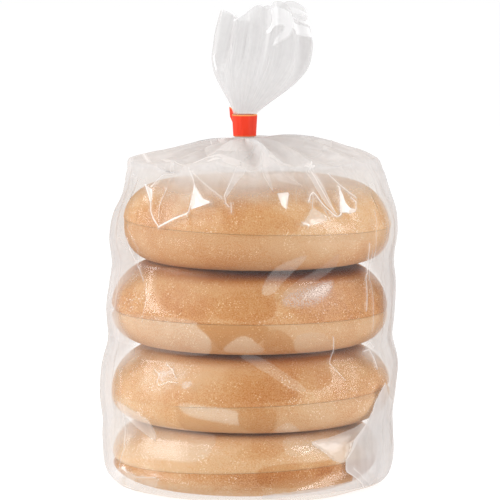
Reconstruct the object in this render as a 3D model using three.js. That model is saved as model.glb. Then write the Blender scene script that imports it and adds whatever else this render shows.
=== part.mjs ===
// A tied clear bag that holds four stacked bagels, with the band of tape round its neck.
//
// Units are millimetres, +Z is up, the origin is the middle of the base on the surface it stands
// on, and the front of the bag faces -Y. The bag is one solid: the stack and the film drawn tight
// round it, the film's tent and pleats up to the neck, and the gathered mouth above the tape, a
// ruffled cup with a thin wall. The tape is a second solid, a flattened band with its two ends
// stuck together as a tab behind the neck.

import * as THREE from "three";

// ---- Driving dimensions -------------------------------------------------------------------

// Four bagels of about 113 mm across lie on each other, from the floor up.
const BAGEL_HEIGHTS = [28.5, 32.5, 35, 34];

// The bag round the stack: wider than the bagels at its left and right, tight in front.
const BAG_HALF_WIDTH = 61.5;
const BAG_HALF_DEPTH = 58.5;
const BAG_SQUARENESS = 2.15; // exponent of the plan's oval, where 2 is an ellipse

// Places where the film stands further out or lies further in than that oval. Angles are in
// degrees from +X, and each swell fades over its half angle and half height.
const SWELLS = [
  { angle: 182, z: 29, reach: 2.4, halfAngle: 34, halfHeight: 19 },
  { angle: 178, z: 84, reach: -2.6, halfAngle: 36, halfHeight: 24 },
  { angle: 355, z: 52, reach: 1.9, halfAngle: 26, halfHeight: 8 },
  { angle: 328, z: 0, reach: -6, halfAngle: 24, halfHeight: 9 },
  { angle: 218, z: 0, reach: -3.5, halfAngle: 26, halfHeight: 8 },
  { angle: 180, z: 125, reach: -3.3, halfAngle: 40, halfHeight: 12 },
];

// Lower edge: it follows the lowest bagel in front and behind, and stands out as ears at the sides.
const FOOT_ROUND_HEIGHT = 13;
const FOOT_INSET = { front: 9, side: 8 };

// Grooves where the film dips between two bagels.
const GROOVE_DEPTH = { front: 3.4, side: 1.3 };
const GROOVE_HALF_HEIGHT = 6.5;

// Shallow upright creases at the sides, and the slow twist of the slack film, both between the
// foot and the shoulder. A pitch is the height over which a wave moves round by one radian.
const CREASES = { count: 17, depth: 0.7, pitch: 60 };
const SWAY = { depth: 0.6, pitch: 21, drift: 34 };
const SLACK_FROM_Z = { bottom: 0, top: 108 };
const SLACK_FADE = { bottom: 20, top: 28 };

// Upper edge, where the film leaves the top bagel and turns into the tent.
const SHOULDER_START_Z = 104;
const SHOULDER_EDGE_Z = 137;
const SHOULDER_EDGE_RADIUS = { front: 46, side: 53 };
const SHOULDER_ROUNDNESS = { left: 0.3, right: 1 }; // 0 is a straight slope
const SHOULDER_SLOPE_POWER = 1.2; // over 1 hollows the straight slope a little
const SHOULDER_ARC_SHARE = 0.93; // how much of a quarter circle the round shoulder turns through

// Tent and pleats between the shoulder and the neck.
const TENT_BULGE = { left: 0.7, right: 4.8 };
const TENT_RISE_POWER = 1.12; // over 1 keeps the tent low near the shoulder
const PLEATS = { count: 13, depth: 1.7, turn: 0.6 };
const WIDE_PLEATS = { count: 7, share: 0.35, turn: 2 };

// Neck, flattened and a little off the middle, and the 9 mm tape round it.
const NECK_X = -2.3;
const NECK_HALF_WIDTH = 4.3;
const NECK_HALF_DEPTH = 3.7;
const NECK_SQUARENESS = 2.3;
const NECK_FLARE = 0.5; // added to the half width from the tape's lower edge to its upper edge
const NECK_BASE_Z = 147.7;
const TAPE_WIDTH = 9.2;
const TAPE_BOTTOM_Z = 148.3;
const TAPE_THICKNESS = 0.5;
const TAPE_CLEARANCE = 0.3;
const TAPE_TAB = { length: 6.5, thickness: 0.7, turn: 34, rise: 0.4, slant: 5 }; // turn in degrees

// Gathered mouth of the bag above the tape.
const TAIL_TOP_Z = 206;
const TAIL_HALF_WIDTH = 21;
const TAIL_HALF_DEPTH = 14.5;
const TAIL_SQUARENESS = 2.2;
const TAIL_OPEN = { share: 0.58, power: 1.25 }; // share of its height at which it is fully open
const TAIL_CLOSE = { from: 0.72, to: 1.1, amount: 0.16 }; // how much it draws in near the rim
const TAIL_LEAN = { x: 8.6, y: -1.5, reached: 0.87 }; // the middle's shift, and the share it takes
const TAIL_WALL = 1.7;
const TAIL_HOLLOW_FROM = 0.3; // share of the mouth's height where its hollow ends
const RUFFLES = { count: 9, full: 0.8, turn: 0.9, twist: 0.8 };
const RUFFLE_DEPTH = { front: 0.17, back: 0.42 }; // as a share of the radius
// Lobes of the mouth's uneven rim: the angle from +X in degrees, the height that each adds to the
// lowest rim, and the angle over which it fades.
const RIM_LOW_Z = 196;
const RIM_LOBES = [
  { angle: 36, height: 9.1, spread: 26.5 },
  { angle: 88.5, height: 7.1, spread: 34 },
  { angle: 170, height: 3.7, spread: 15.5 },
  { angle: 186.5, height: 6.6, spread: 20.5 },
  { angle: 254, height: 8.1, spread: 31.5 },
  { angle: 295, height: 9.8, spread: 33.5 },
];

// Folds are unevenly spaced: two slow waves shift them round by these amounts, in radians.
const UNEVENNESS = [
  { waves: 2, shift: 0.16, turn: 1.1 },
  { waves: 5, shift: 0.07, turn: 0.4 },
];

// Points in each ring, and rings in each stretch.
const AROUND = 84;
const RINGS = { floor: 2, foot: 4, side: 25, tent: 7, neck: 3, tail: 9, inside: 5 };

// ---- Small helpers ------------------------------------------------------------------------

const { lerp, smoothstep, degToRad } = THREE.MathUtils;
const FULL_TURN = 2 * Math.PI;
const TAPE_TOP_Z = TAPE_BOTTOM_Z + TAPE_WIDTH;

// The heights at which one bagel lies on the next.
const GROOVE_LEVELS = BAGEL_HEIGHTS.slice(0, -1).map((_, i) =>
  BAGEL_HEIGHTS.slice(0, i + 1).reduce((sum, height) => sum + height),
);

// How far a direction points to the left or right of the bag: 0 in front, 1 at the side.
function sideShare(angle) {
  return Math.cos(angle) ** 2;
}

// How far a direction points to the right of the bag: 0 at the left, 1 at the right.
function rightShare(angle) {
  return (1 + Math.cos(angle)) / 2;
}

// The signed turn from one direction to another, in degrees from -180 to 180.
function degreesApart(angle, degrees) {
  const turn = THREE.MathUtils.radToDeg(angle) - degrees;
  return THREE.MathUtils.euclideanModulo(turn + 180, 360) - 180;
}

// A value that goes from its front figure to its side figure round the bag.
function frontToSide({ front, side }, angle) {
  return lerp(front, side, sideShare(angle));
}

// An angle shifted by the unevenness of the folds, which closes after a full turn.
function uneven(angle) {
  return UNEVENNESS.reduce(
    (sum, { waves, shift, turn }) => sum + shift * Math.sin(waves * angle + turn),
    angle,
  );
}

// A point at a radius and an angle from a centre.
function around(centre, radius, angle, z) {
  return new THREE.Vector3(
    centre.x + radius * Math.cos(angle),
    centre.y + radius * Math.sin(angle),
    z,
  );
}

// The radius of a superellipse in a direction.
function ovalRadius(halfWidth, halfDepth, exponent, angle) {
  const x = Math.abs(Math.cos(angle) / halfWidth) ** exponent;
  const y = Math.abs(Math.sin(angle) / halfDepth) ** exponent;
  return (x + y) ** (-1 / exponent);
}

// ---- The bag's surface, stretch by stretch from the floor up --------------------------------

// Radius of the film round the stack.
function sideRadius(angle, z) {
  const full = ovalRadius(BAG_HALF_WIDTH, BAG_HALF_DEPTH, BAG_SQUARENESS, angle);
  const belowRound = Math.max(0, 1 - z / FOOT_ROUND_HEIGHT);
  const foot = frontToSide(FOOT_INSET, angle) * (1 - Math.sqrt(1 - belowRound ** 2));
  const grooves = GROOVE_LEVELS.reduce(
    (sum, level) => sum + Math.exp(-(((z - level) / GROOVE_HALF_HEIGHT) ** 2)),
    0,
  );
  const swells = SWELLS.reduce((sum, swell) => {
    const turned = degreesApart(angle, swell.angle) / swell.halfAngle;
    const raised = (z - swell.z) / swell.halfHeight;
    return sum + swell.reach * Math.exp(-(turned ** 2) - raised ** 2);
  }, 0);
  return (
    full - foot - shoulderInset(full, angle, z) - frontToSide(GROOVE_DEPTH, angle) * grooves
    + swells + slackWave(angle, z)
  );
}

// How far the shoulder draws the film in, from where it leaves the top bagel to the tent's edge.
function shoulderInset(full, angle, z) {
  const turn = Math.max(0, (z - SHOULDER_START_Z) / (SHOULDER_EDGE_Z - SHOULDER_START_Z));
  const arc = 1 - Math.sqrt(1 - SHOULDER_ARC_SHARE * turn ** 2);
  const roundTurn = arc / (1 - Math.sqrt(1 - SHOULDER_ARC_SHARE));
  const roundness = lerp(SHOULDER_ROUNDNESS.left, SHOULDER_ROUNDNESS.right, rightShare(angle));
  const edge = frontToSide(SHOULDER_EDGE_RADIUS, angle);
  return (full - edge) * lerp(turn ** SHOULDER_SLOPE_POWER, roundTurn, roundness);
}

// Creases and twist of the slack film round the stack.
function slackWave(angle, z) {
  const { bottom, top } = SLACK_FROM_Z;
  const middle = smoothstep(z, bottom, bottom + SLACK_FADE.bottom)
    * (1 - smoothstep(z, top, top + SLACK_FADE.top));
  const creases = sideShare(angle) * Math.cos(CREASES.count * uneven(angle) + z / CREASES.pitch);
  const sway = Math.sin(2 * angle + z / SWAY.pitch) * Math.cos(angle - z / SWAY.drift);
  return middle * (CREASES.depth * creases + SWAY.depth * sway);
}

// Folds that run up the tent and gather at the neck: about -1 in a valley and 1 on a ridge.
function pleatWave(angle) {
  const wave = Math.cos(PLEATS.count * uneven(angle) + PLEATS.turn);
  return wave + WIDE_PLEATS.share * Math.cos(WIDE_PLEATS.count * angle + WIDE_PLEATS.turn);
}

// The neck's centre and radius, the same under the tape as just below and above it.
const NECK_CENTRE = new THREE.Vector2(NECK_X, 0);

function neckRadius(angle, z) {
  const flare = NECK_FLARE * (z - TAPE_BOTTOM_Z) / TAPE_WIDTH;
  return ovalRadius(NECK_HALF_WIDTH + flare, NECK_HALF_DEPTH + flare, NECK_SQUARENESS, angle);
}

// One ring of the tent, with share 0 at the shoulder's edge and 1 at the neck.
function tentRing(share) {
  const centre = NECK_CENTRE.clone().multiplyScalar(smoothstep(share, 0.2, 1));
  return (angle) => {
    const outer = sideRadius(angle, SHOULDER_EDGE_Z);
    const radius = lerp(outer, neckRadius(angle, NECK_BASE_Z), share);
    const highest = lerp(TENT_BULGE.left, TENT_BULGE.right, rightShare(angle));
    const bulge = highest * Math.sin(Math.PI * share);
    const depth = PLEATS.depth * Math.sin(Math.PI * share ** 0.7) ** 0.8;
    const z = lerp(SHOULDER_EDGE_Z, NECK_BASE_Z, share ** TENT_RISE_POWER) + bulge;
    return around(centre, radius, angle, z + depth * pleatWave(angle));
  };
}

// Height of the mouth's uneven rim.
function rimHeight(angle) {
  const lobes = RIM_LOBES.map(
    (lobe) => lobe.height * Math.exp(-((degreesApart(angle, lobe.angle) / lobe.spread) ** 2)),
  );
  return Math.min(TAIL_TOP_Z, RIM_LOW_Z + Math.max(...lobes));
}

// The mouth's outer radius at a share of its height, 0 at the tape and 1 at the rim.
function tailRadius(angle, share) {
  const opening = Math.sin((Math.PI / 2) * Math.min(1, share / TAIL_OPEN.share)) ** TAIL_OPEN.power;
  const closing = 1 - TAIL_CLOSE.amount * smoothstep(share, TAIL_CLOSE.from, TAIL_CLOSE.to);
  const halfWidth = lerp(NECK_HALF_WIDTH + NECK_FLARE, TAIL_HALF_WIDTH * closing, opening);
  const halfDepth = lerp(NECK_HALF_DEPTH + NECK_FLARE, TAIL_HALF_DEPTH * closing, opening);
  const ruffle = Math.cos(RUFFLES.count * uneven(angle) + RUFFLES.turn + RUFFLES.twist * share);
  const depth = lerp(RUFFLE_DEPTH.back, RUFFLE_DEPTH.front, (1 - Math.sin(angle)) / 2);
  const inward = (depth * smoothstep(share, 0, RUFFLES.full) * (1 - ruffle)) / 2;
  return ovalRadius(halfWidth, halfDepth, TAIL_SQUARENESS, angle) * (1 - inward);
}

// The mouth's middle, which leans away from the neck as it climbs.
function tailCentre(share) {
  const lean = Math.sin((Math.PI / 2) * Math.min(1, share / TAIL_LEAN.reached));
  return new THREE.Vector2(NECK_X + TAIL_LEAN.x * lean, TAIL_LEAN.y * lean);
}

// One ring of the mouth, outside or, given the wall's thickness, inside it.
function tailRing(share, wall = 0) {
  const narrowest = 0.8;
  return (angle) => {
    const radius = Math.max(narrowest, tailRadius(angle, share) - wall);
    return around(tailCentre(share), radius, angle, lerp(TAPE_TOP_Z, rimHeight(angle), share));
  };
}

// ---- Skins and solids -----------------------------------------------------------------------

// A closed surface through rings of points, shut by one point below the first ring and one after
// the last. The rings run anticlockwise seen from +Z where the surface climbs.
function closedSkin(rings, firstPoint, lastPoint) {
  const positions = [firstPoint, ...rings.flat(), lastPoint].flatMap((point) => point.toArray());
  const last = rings.length * AROUND + 1;
  const at = (ring, i) => 1 + ring * AROUND + (i % AROUND);
  const faces = [];
  for (let i = 0; i < AROUND; i += 1) {
    faces.push(0, at(0, i + 1), at(0, i));
    for (let ring = 0; ring < rings.length - 1; ring += 1) {
      faces.push(at(ring, i), at(ring, i + 1), at(ring + 1, i + 1));
      faces.push(at(ring, i), at(ring + 1, i + 1), at(ring + 1, i));
    }
    faces.push(last, at(rings.length - 1, i), at(rings.length - 1, i + 1));
  }
  const geometry = new THREE.BufferGeometry();
  geometry.setAttribute("position", new THREE.Float32BufferAttribute(positions, 3));
  geometry.setIndex(faces);
  geometry.computeVertexNormals();
  return geometry;
}

// The points of one ring, from a function of the angle.
function ringPoints(pointAt) {
  return Array.from({ length: AROUND }, (_, i) => pointAt((i / AROUND) * FULL_TURN));
}

// Shares from just above 0 up to 1, in equal steps.
function steps(count) {
  return Array.from({ length: count }, (_, i) => (i + 1) / count);
}

// The whole bag: its base, sides, shoulder, tent, neck and open mouth.
function bagGeometry() {
  const middle = new THREE.Vector2(0, 0);
  const side = (z) => (angle) => around(middle, sideRadius(angle, z), angle, z);
  const neck = (z) => (angle) => around(NECK_CENTRE, neckRadius(angle, z), angle, z);
  const flat = (share) => (angle) => around(middle, share * sideRadius(angle, 0), angle, 0);
  const inside = (share) => lerp(1, TAIL_HOLLOW_FROM, share - 1 / (RINGS.inside + 1));
  const rings = [
    ...steps(RINGS.floor).map((share) => flat(share)),
    ...steps(RINGS.foot).map((share) => side(FOOT_ROUND_HEIGHT * share ** 1.6)),
    ...steps(RINGS.side).map((share) => side(lerp(FOOT_ROUND_HEIGHT, SHOULDER_EDGE_Z, share))),
    ...steps(RINGS.tent).map((share) => tentRing(share)),
    ...steps(RINGS.neck).map((share) => neck(lerp(NECK_BASE_Z, TAPE_TOP_Z, share))),
    ...steps(RINGS.tail).map((share) => tailRing(share)),
    ...steps(RINGS.inside).map((share) => tailRing(inside(share), TAIL_WALL)),
  ].map(ringPoints);
  const bottom = new THREE.Vector3(0, 0, 0);
  const { x, y } = tailCentre(TAIL_HOLLOW_FROM);
  const hollow = new THREE.Vector3(x, y, lerp(TAPE_TOP_Z, RIM_LOW_Z, TAIL_HOLLOW_FROM) - 1);
  return closedSkin(rings, bottom, hollow);
}

// The tape's outline: the band round the neck with the tab behind it, and the neck's hole in it.
function tapeGeometry() {
  const sides = 48;
  const inner = [];
  const outer = [];
  const tabHalfAngle = Math.asin(TAPE_TAB.thickness / 2 / (NECK_HALF_DEPTH + TAPE_THICKNESS));
  const tabAngle = degToRad(90 + TAPE_TAB.turn);
  const level = TAPE_BOTTOM_Z + TAPE_WIDTH / 2;
  const wallAt = (angle, offset) => {
    const radius = neckRadius(angle, level) + TAPE_CLEARANCE + offset;
    return new THREE.Vector2(radius * Math.cos(angle), radius * Math.sin(angle));
  };
  for (let i = 0; i < sides; i += 1) {
    inner.push(wallAt((i / sides) * FULL_TURN, 0));
    const share = i / (sides - 1);
    outer.push(wallAt(tabAngle + lerp(tabHalfAngle, FULL_TURN - tabHalfAngle, share), TAPE_THICKNESS));
  }
  const along = new THREE.Vector2(Math.cos(tabAngle), Math.sin(tabAngle));
  const tabEnds = [outer.at(-1), outer[0]].map((root) =>
    root.clone().addScaledVector(along, TAPE_TAB.length),
  );
  const outline = new THREE.Shape([...outer, ...tabEnds]);
  outline.holes.push(new THREE.Path(inner));
  const geometry = new THREE.ExtrudeGeometry(outline, {
    depth: TAPE_WIDTH, steps: 2, bevelEnabled: false,
  });
  // The band widens upwards with the neck. The tab climbs away from it, and its end is cut aslant.
  const place = geometry.getAttribute("position");
  const bandReach = NECK_HALF_DEPTH + TAPE_CLEARANCE + TAPE_THICKNESS;
  for (let i = 0; i < place.count; i += 1) {
    const point = new THREE.Vector2(place.getX(i), place.getY(i));
    const height = place.getZ(i) - TAPE_WIDTH / 2;
    const onTab = point.dot(along) > bandReach + 1;
    const widen = onTab ? 0 : (NECK_FLARE * height) / TAPE_WIDTH / point.length();
    const slant = TAPE_TAB.slant * (0.5 - height / TAPE_WIDTH);
    const rise = onTab ? TAPE_TAB.rise * (point.dot(along) - bandReach) + slant : 0;
    place.setXYZ(
      i, point.x * (1 + widen) + NECK_X, point.y * (1 + widen), level + height + rise,
    );
  }
  geometry.computeVertexNormals();
  return geometry;
}

// ---- Materials and the model ----------------------------------------------------------------

const breadThroughFilm = new THREE.MeshStandardMaterial({
  name: "bread_through_film", color: 0xe6c9a8, roughness: 0.35, metalness: 0,
});
const redTape = new THREE.MeshStandardMaterial({
  name: "red_tape", color: 0xee3c22, roughness: 0.45, metalness: 0,
});

function namedMesh(name, geometry, material) {
  const mesh = new THREE.Mesh(geometry, material);
  mesh.name = name;
  return mesh;
}

const pack = new THREE.Group();
pack.name = "pack_of_bagels";
pack.add(namedMesh("bag", bagGeometry(), breadThroughFilm));
pack.add(namedMesh("neck_tape", tapeGeometry(), redTape));

export default pack;
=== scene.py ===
"""A tied clear bag of four stacked, sliced bagels, dressed for Blender.

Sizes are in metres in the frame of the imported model: +Z up, the origin in the middle of the base,
and the front of the bag facing -Y. The bag's solid is replaced by the clear film and the bagels in
it, and the neck's tape by a band with its two ends stuck together behind the neck. The film starts
from the solid's own form, and is then relaxed as a slack sheet that can't pass through the bread.
"""

import logging
import math
from dataclasses import dataclass, field
from enum import Enum

import bpy
import numpy as np
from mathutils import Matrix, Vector
from mathutils.bvhtree import BVHTree
from mathutils.geometry import delaunay_2d_cdt


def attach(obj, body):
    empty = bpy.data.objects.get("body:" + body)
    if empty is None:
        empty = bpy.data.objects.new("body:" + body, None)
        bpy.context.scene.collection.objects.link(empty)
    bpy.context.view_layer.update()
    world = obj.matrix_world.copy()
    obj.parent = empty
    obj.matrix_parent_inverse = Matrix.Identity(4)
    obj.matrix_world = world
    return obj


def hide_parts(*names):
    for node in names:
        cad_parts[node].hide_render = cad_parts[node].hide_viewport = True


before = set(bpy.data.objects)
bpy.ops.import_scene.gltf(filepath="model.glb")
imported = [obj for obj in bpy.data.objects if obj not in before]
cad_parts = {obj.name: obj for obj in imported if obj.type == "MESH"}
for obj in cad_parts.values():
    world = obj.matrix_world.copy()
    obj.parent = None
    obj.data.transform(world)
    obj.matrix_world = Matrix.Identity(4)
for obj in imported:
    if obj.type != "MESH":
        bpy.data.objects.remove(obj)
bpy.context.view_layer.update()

LOG = logging.getLogger("pack_of_bagels")
BODY = "root"
MM = 0.001
FULL_TURN = 2.0 * math.pi
SMALLEST = 1e-9

Colour = tuple[float, float, float, float]
Array = np.ndarray
Object = bpy.types.Object
Socket = bpy.types.NodeSocket
Pixels = tuple[float, ...]
WHITE: Colour = (1.0, 1.0, 1.0, 1.0)


# ---- Small helpers ----


def ease(value: Array, low: float, high: float) -> Array:
    """Return a smooth share of the way from low to high, held at 0 and 1 outside them."""
    share = np.clip((value - low) / (high - low), 0.0, 1.0)
    return share * share * (3.0 - 2.0 * share)


def mix(first: Array, second: Array, share: Array) -> Array:
    """Return the value at a share of the way from the first to the second."""
    return first + (second - first) * share


def side_share(angle: Array) -> Array:
    """Return how far a direction points to the bag's sides: 0 in front, 1 at a side."""
    return np.cos(angle) ** 2


def right_share(angle: Array) -> Array:
    """Return how far a direction points to the right: 0 at the left, 1 at the right."""
    return (1.0 + np.cos(angle)) / 2.0


def degrees_apart(angle: Array, degrees: float) -> Array:
    """Return the signed turn from a direction in degrees to an angle, from -180 to 180."""
    return (np.degrees(angle) - degrees + 180.0) % 360.0 - 180.0


def oval_radius(half_width: Array, half_depth: Array, exponent: float, angle: Array) -> Array:
    """Return the radius of a superellipse in each direction.

    Args:
        half_width: half of its size along X.
        half_depth: half of its size along Y.
        exponent: 2 for an ellipse, more for a squarer form.
        angle: directions in radians from +X.

    Returns:
        The radius in each direction.
    """
    across = np.abs(np.cos(angle) / half_width) ** exponent
    along = np.abs(np.sin(angle) / half_depth) ** exponent
    return (across + along) ** (-1.0 / exponent)


def smooth_noise(seed: int, places: Array, size: float, waves: int = 14) -> Array:
    """Return a smooth random field of about unit strength, the same on each run.

    Args:
        seed: number of the field.
        places: points as an array whose last axis is x, y, z.
        size: distance over which the field changes.
        waves: how many plane waves are added up.

    Returns:
        The field at each point.
    """
    dice = np.random.default_rng(seed)
    turns = dice.normal(size=(waves, 3))
    turns /= np.linalg.norm(turns, axis=1, keepdims=True)
    pitch = dice.uniform(0.6, 1.6, waves)
    phase = dice.uniform(0.0, FULL_TURN, waves)
    total = np.zeros(places.shape[:-1])
    for turn, tempo, start in zip(turns, pitch, phase):
        total += np.sin(places @ turn * (tempo / size) + start)
    return total * math.sqrt(2.0 / waves)


# ---- The form of the bag, as its solid has it ----


@dataclass(frozen=True)
class Swell:
    """A place where the film stands further out, or lies further in, than the plain oval."""

    angle: float
    height: float
    reach: float
    half_angle: float
    half_height: float


@dataclass(frozen=True)
class Lobe:
    """One of the high places of the mouth's rim: its direction, height and spread in degrees."""

    angle: float
    height: float
    spread: float


@dataclass(frozen=True)
class BagForm:
    """The outside form of the tied bag, with the same driving sizes as its solid."""

    half_width: float = 61.5 * MM
    half_depth: float = 58.5 * MM
    squareness: float = 2.15
    foot_round: float = 13.0 * MM
    foot_inset_front: float = 9.0 * MM
    foot_inset_side: float = 8.0 * MM
    groove_levels: tuple[float, ...] = (28.5 * MM, 61.0 * MM, 96.0 * MM)
    groove_front: float = 3.4 * MM
    groove_side: float = 1.3 * MM
    groove_half_height: float = 6.5 * MM
    crease_count: int = 17
    crease_depth: float = 0.7 * MM
    crease_pitch: float = 60.0 * MM
    sway_depth: float = 0.6 * MM
    sway_pitch: float = 21.0 * MM
    sway_drift: float = 34.0 * MM
    shoulder_start: float = 104.0 * MM
    shoulder_edge: float = 137.0 * MM
    edge_front: float = 46.0 * MM
    edge_side: float = 53.0 * MM
    round_left: float = 0.3
    round_right: float = 1.0
    slope_power: float = 1.2
    arc_share: float = 0.93
    bulge_left: float = 0.7 * MM
    bulge_right: float = 4.8 * MM
    tent_power: float = 1.12
    pleat_count: int = 13
    pleat_depth: float = 1.7 * MM
    neck_x: float = -2.3 * MM
    neck_half_width: float = 4.3 * MM
    neck_half_depth: float = 3.7 * MM
    neck_flare: float = 0.5 * MM
    neck_base: float = 147.7 * MM
    tape_bottom: float = 148.3 * MM
    tape_width: float = 9.2 * MM
    tail_top: float = 206.0 * MM
    tail_half_width: float = 21.0 * MM
    tail_half_depth: float = 14.5 * MM
    tail_lean_x: float = 8.6 * MM
    tail_lean_y: float = -1.5 * MM
    ruffle_count: int = 9
    ruffle_depth: float = 0.42
    ruffle_front: float = 0.17
    rim_low: float = 196.0 * MM
    swells: tuple[Swell, ...] = (
        Swell(182, 29 * MM, 2.4 * MM, 34, 19 * MM),
        Swell(178, 84 * MM, -2.6 * MM, 36, 24 * MM),
        Swell(355, 52 * MM, 1.9 * MM, 26, 8 * MM),
        Swell(328, 0 * MM, -6.0 * MM, 24, 9 * MM),
        Swell(218, 0 * MM, -3.5 * MM, 26, 8 * MM),
        Swell(180, 125 * MM, -3.3 * MM, 40, 12 * MM),
    )
    rim_lobes: tuple[Lobe, ...] = (
        Lobe(36, 9.1 * MM, 26.5), Lobe(88.5, 7.1 * MM, 34), Lobe(170, 3.7 * MM, 15.5),
        Lobe(186.5, 6.6 * MM, 20.5), Lobe(254, 8.1 * MM, 31.5), Lobe(295, 9.8 * MM, 33.5),
    )

    @property
    def tape_top(self) -> float:
        """Return the height of the tape's upper edge."""
        return self.tape_bottom + self.tape_width

    def uneven(self, angle: Array) -> Array:
        """Return angles shifted by the uneven spacing of the folds."""
        return angle + 0.16 * np.sin(2 * angle + 1.1) + 0.07 * np.sin(5 * angle + 0.4)

    def side_radius(self, angle: Array, height: Array) -> Array:
        """Return the film's radius round the stack.

        Args:
            angle: directions in radians from +X.
            height: heights above the base.

        Returns:
            The radius at each direction and height.
        """
        sides = side_share(angle)
        full = oval_radius(self.half_width, self.half_depth, self.squareness, angle)
        below = np.maximum(0.0, 1.0 - height / self.foot_round)
        foot = mix(self.foot_inset_front, self.foot_inset_side, sides)
        foot = foot * (1.0 - np.sqrt(np.maximum(0.0, 1.0 - below ** 2)))
        grooves = sum(
            np.exp(-(((height - level) / self.groove_half_height) ** 2))
            for level in self.groove_levels
        )
        swells = sum(
            swell.reach * np.exp(
                -((degrees_apart(angle, swell.angle) / swell.half_angle) ** 2)
                - ((height - swell.height) / swell.half_height) ** 2
            )
            for swell in self.swells
        )
        return (
            full - foot - self._shoulder_inset(full, angle, height)
            - mix(self.groove_front, self.groove_side, sides) * grooves
            + swells + self._slack_wave(angle, height)
        )

    def _shoulder_inset(self, full: Array, angle: Array, height: Array) -> Array:
        """Return how far the shoulder draws the film in below the tent's edge.

        Args:
            full: the plain oval's radius.
            angle: directions in radians.
            height: heights above the base.

        Returns:
            The inset at each place.
        """
        turn = (height - self.shoulder_start) / (self.shoulder_edge - self.shoulder_start)
        turn = np.clip(turn, 0.0, 1.0)
        arc = 1.0 - np.sqrt(1.0 - self.arc_share * turn ** 2)
        round_turn = arc / (1.0 - math.sqrt(1.0 - self.arc_share))
        roundness = mix(self.round_left, self.round_right, right_share(angle))
        edge = mix(self.edge_front, self.edge_side, side_share(angle))
        return (full - edge) * mix(turn ** self.slope_power, round_turn, roundness)

    def _slack_wave(self, angle: Array, height: Array) -> Array:
        """Return the upright creases and slow twist of the slack film.

        Args:
            angle: directions in radians.
            height: heights above the base.

        Returns:
            The outward shift at each place.
        """
        middle = ease(height, 0.0, 20 * MM) * (1.0 - ease(height, 108 * MM, 136 * MM))
        turned = self.crease_count * self.uneven(angle) + height / self.crease_pitch
        creases = side_share(angle) * np.cos(turned)
        sway = np.sin(2 * angle + height / self.sway_pitch)
        sway = sway * np.cos(angle - height / self.sway_drift)
        return middle * (self.crease_depth * creases + self.sway_depth * sway)

    def neck_radius(self, angle: Array, height: Array) -> Array:
        """Return the gathered neck's radius at each direction and height."""
        flare = self.neck_flare * (height - self.tape_bottom) / self.tape_width
        return oval_radius(self.neck_half_width + flare, self.neck_half_depth + flare, 2.3, angle)

    def pleat_wave(self, angle: Array) -> Array:
        """Return the tent's folds: about -1 in a valley and 1 on a ridge."""
        wave = np.cos(self.pleat_count * self.uneven(angle) + 0.6)
        return wave + 0.35 * np.cos(7 * angle + 2.0)

    def tent_points(self, angle: Array, share: Array) -> Array:
        """Return points of the tent, from its edge at share 0 to the neck at share 1.

        Args:
            angle: directions in radians.
            share: shares of the way to the neck.

        Returns:
            Points, as an array whose last axis is x, y, z.
        """
        centre = self.neck_x * ease(share, 0.2, 1.0)
        outer = self.side_radius(angle, np.asarray(self.shoulder_edge))
        radius = mix(outer, self.neck_radius(angle, self.neck_base), share)
        highest = mix(self.bulge_left, self.bulge_right, right_share(angle))
        bulge = highest * np.sin(np.pi * share)
        depth = self.pleat_depth * np.sin(np.pi * share ** 0.7).clip(0.0) ** 0.8
        height = mix(self.shoulder_edge, self.neck_base, share ** self.tent_power) + bulge
        height = height + depth * self.pleat_wave(angle)
        return ring_points(centre, 0.0, radius, angle, height)

    def rim_height(self, angle: Array) -> Array:
        """Return the height of the mouth's uneven rim in each direction."""
        highest = np.max([lobe.height * np.exp(-((degrees_apart(angle, lobe.angle) / lobe.spread) ** 2))
                          for lobe in self.rim_lobes], axis=0)
        return np.minimum(self.tail_top, self.rim_low + highest)

    def tail_points(self, angle: Array, share: Array) -> Array:
        """Return points of the gathered mouth, from the tape at share 0 to the rim at share 1.

        Args:
            angle: directions in radians.
            share: shares of the mouth's height.

        Returns:
            Points, as an array whose last axis is x, y, z.
        """
        opening = np.sin((np.pi / 2) * np.minimum(1.0, share / 0.58)) ** 1.25
        closing = 1.0 - 0.16 * ease(share, 0.72, 1.1)
        half_width = mix(self.neck_half_width + self.neck_flare, self.tail_half_width * closing, opening)
        half_depth = mix(self.neck_half_depth + self.neck_flare, self.tail_half_depth * closing, opening)
        ruffle = np.cos(self.ruffle_count * self.uneven(angle) + 0.9 + 0.8 * share)
        depth = mix(self.ruffle_depth, self.ruffle_front, (1.0 - np.sin(angle)) / 2.0)
        inward = depth * ease(share, 0.0, 0.8) * (1.0 - ruffle) / 2.0
        radius = oval_radius(half_width, half_depth, 2.2, angle) * (1.0 - inward)
        lean = np.sin((np.pi / 2) * np.minimum(1.0, share / 0.87))
        height = mix(self.tape_top, self.rim_height(angle), share)
        return ring_points(
            self.neck_x + self.tail_lean_x * lean, self.tail_lean_y * lean, radius, angle, height)


def ring_points(centre_x: Array, centre_y: Array, radius: Array, angle: Array, height: Array) -> Array:
    """Return points at a radius and an angle from a centre.

    Args:
        centre_x: the centre's place along X.
        centre_y: the centre's place along Y.
        radius: distances from the centre.
        angle: directions in radians from +X.
        height: heights above the base.

    Returns:
        Points, as an array whose last axis is x, y, z.
    """
    across = centre_x + radius * np.cos(angle)
    along = centre_y + radius * np.sin(angle)
    return np.stack(np.broadcast_arrays(across, along, height), axis=-1).astype(float)


# ---- Finishes ----


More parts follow.
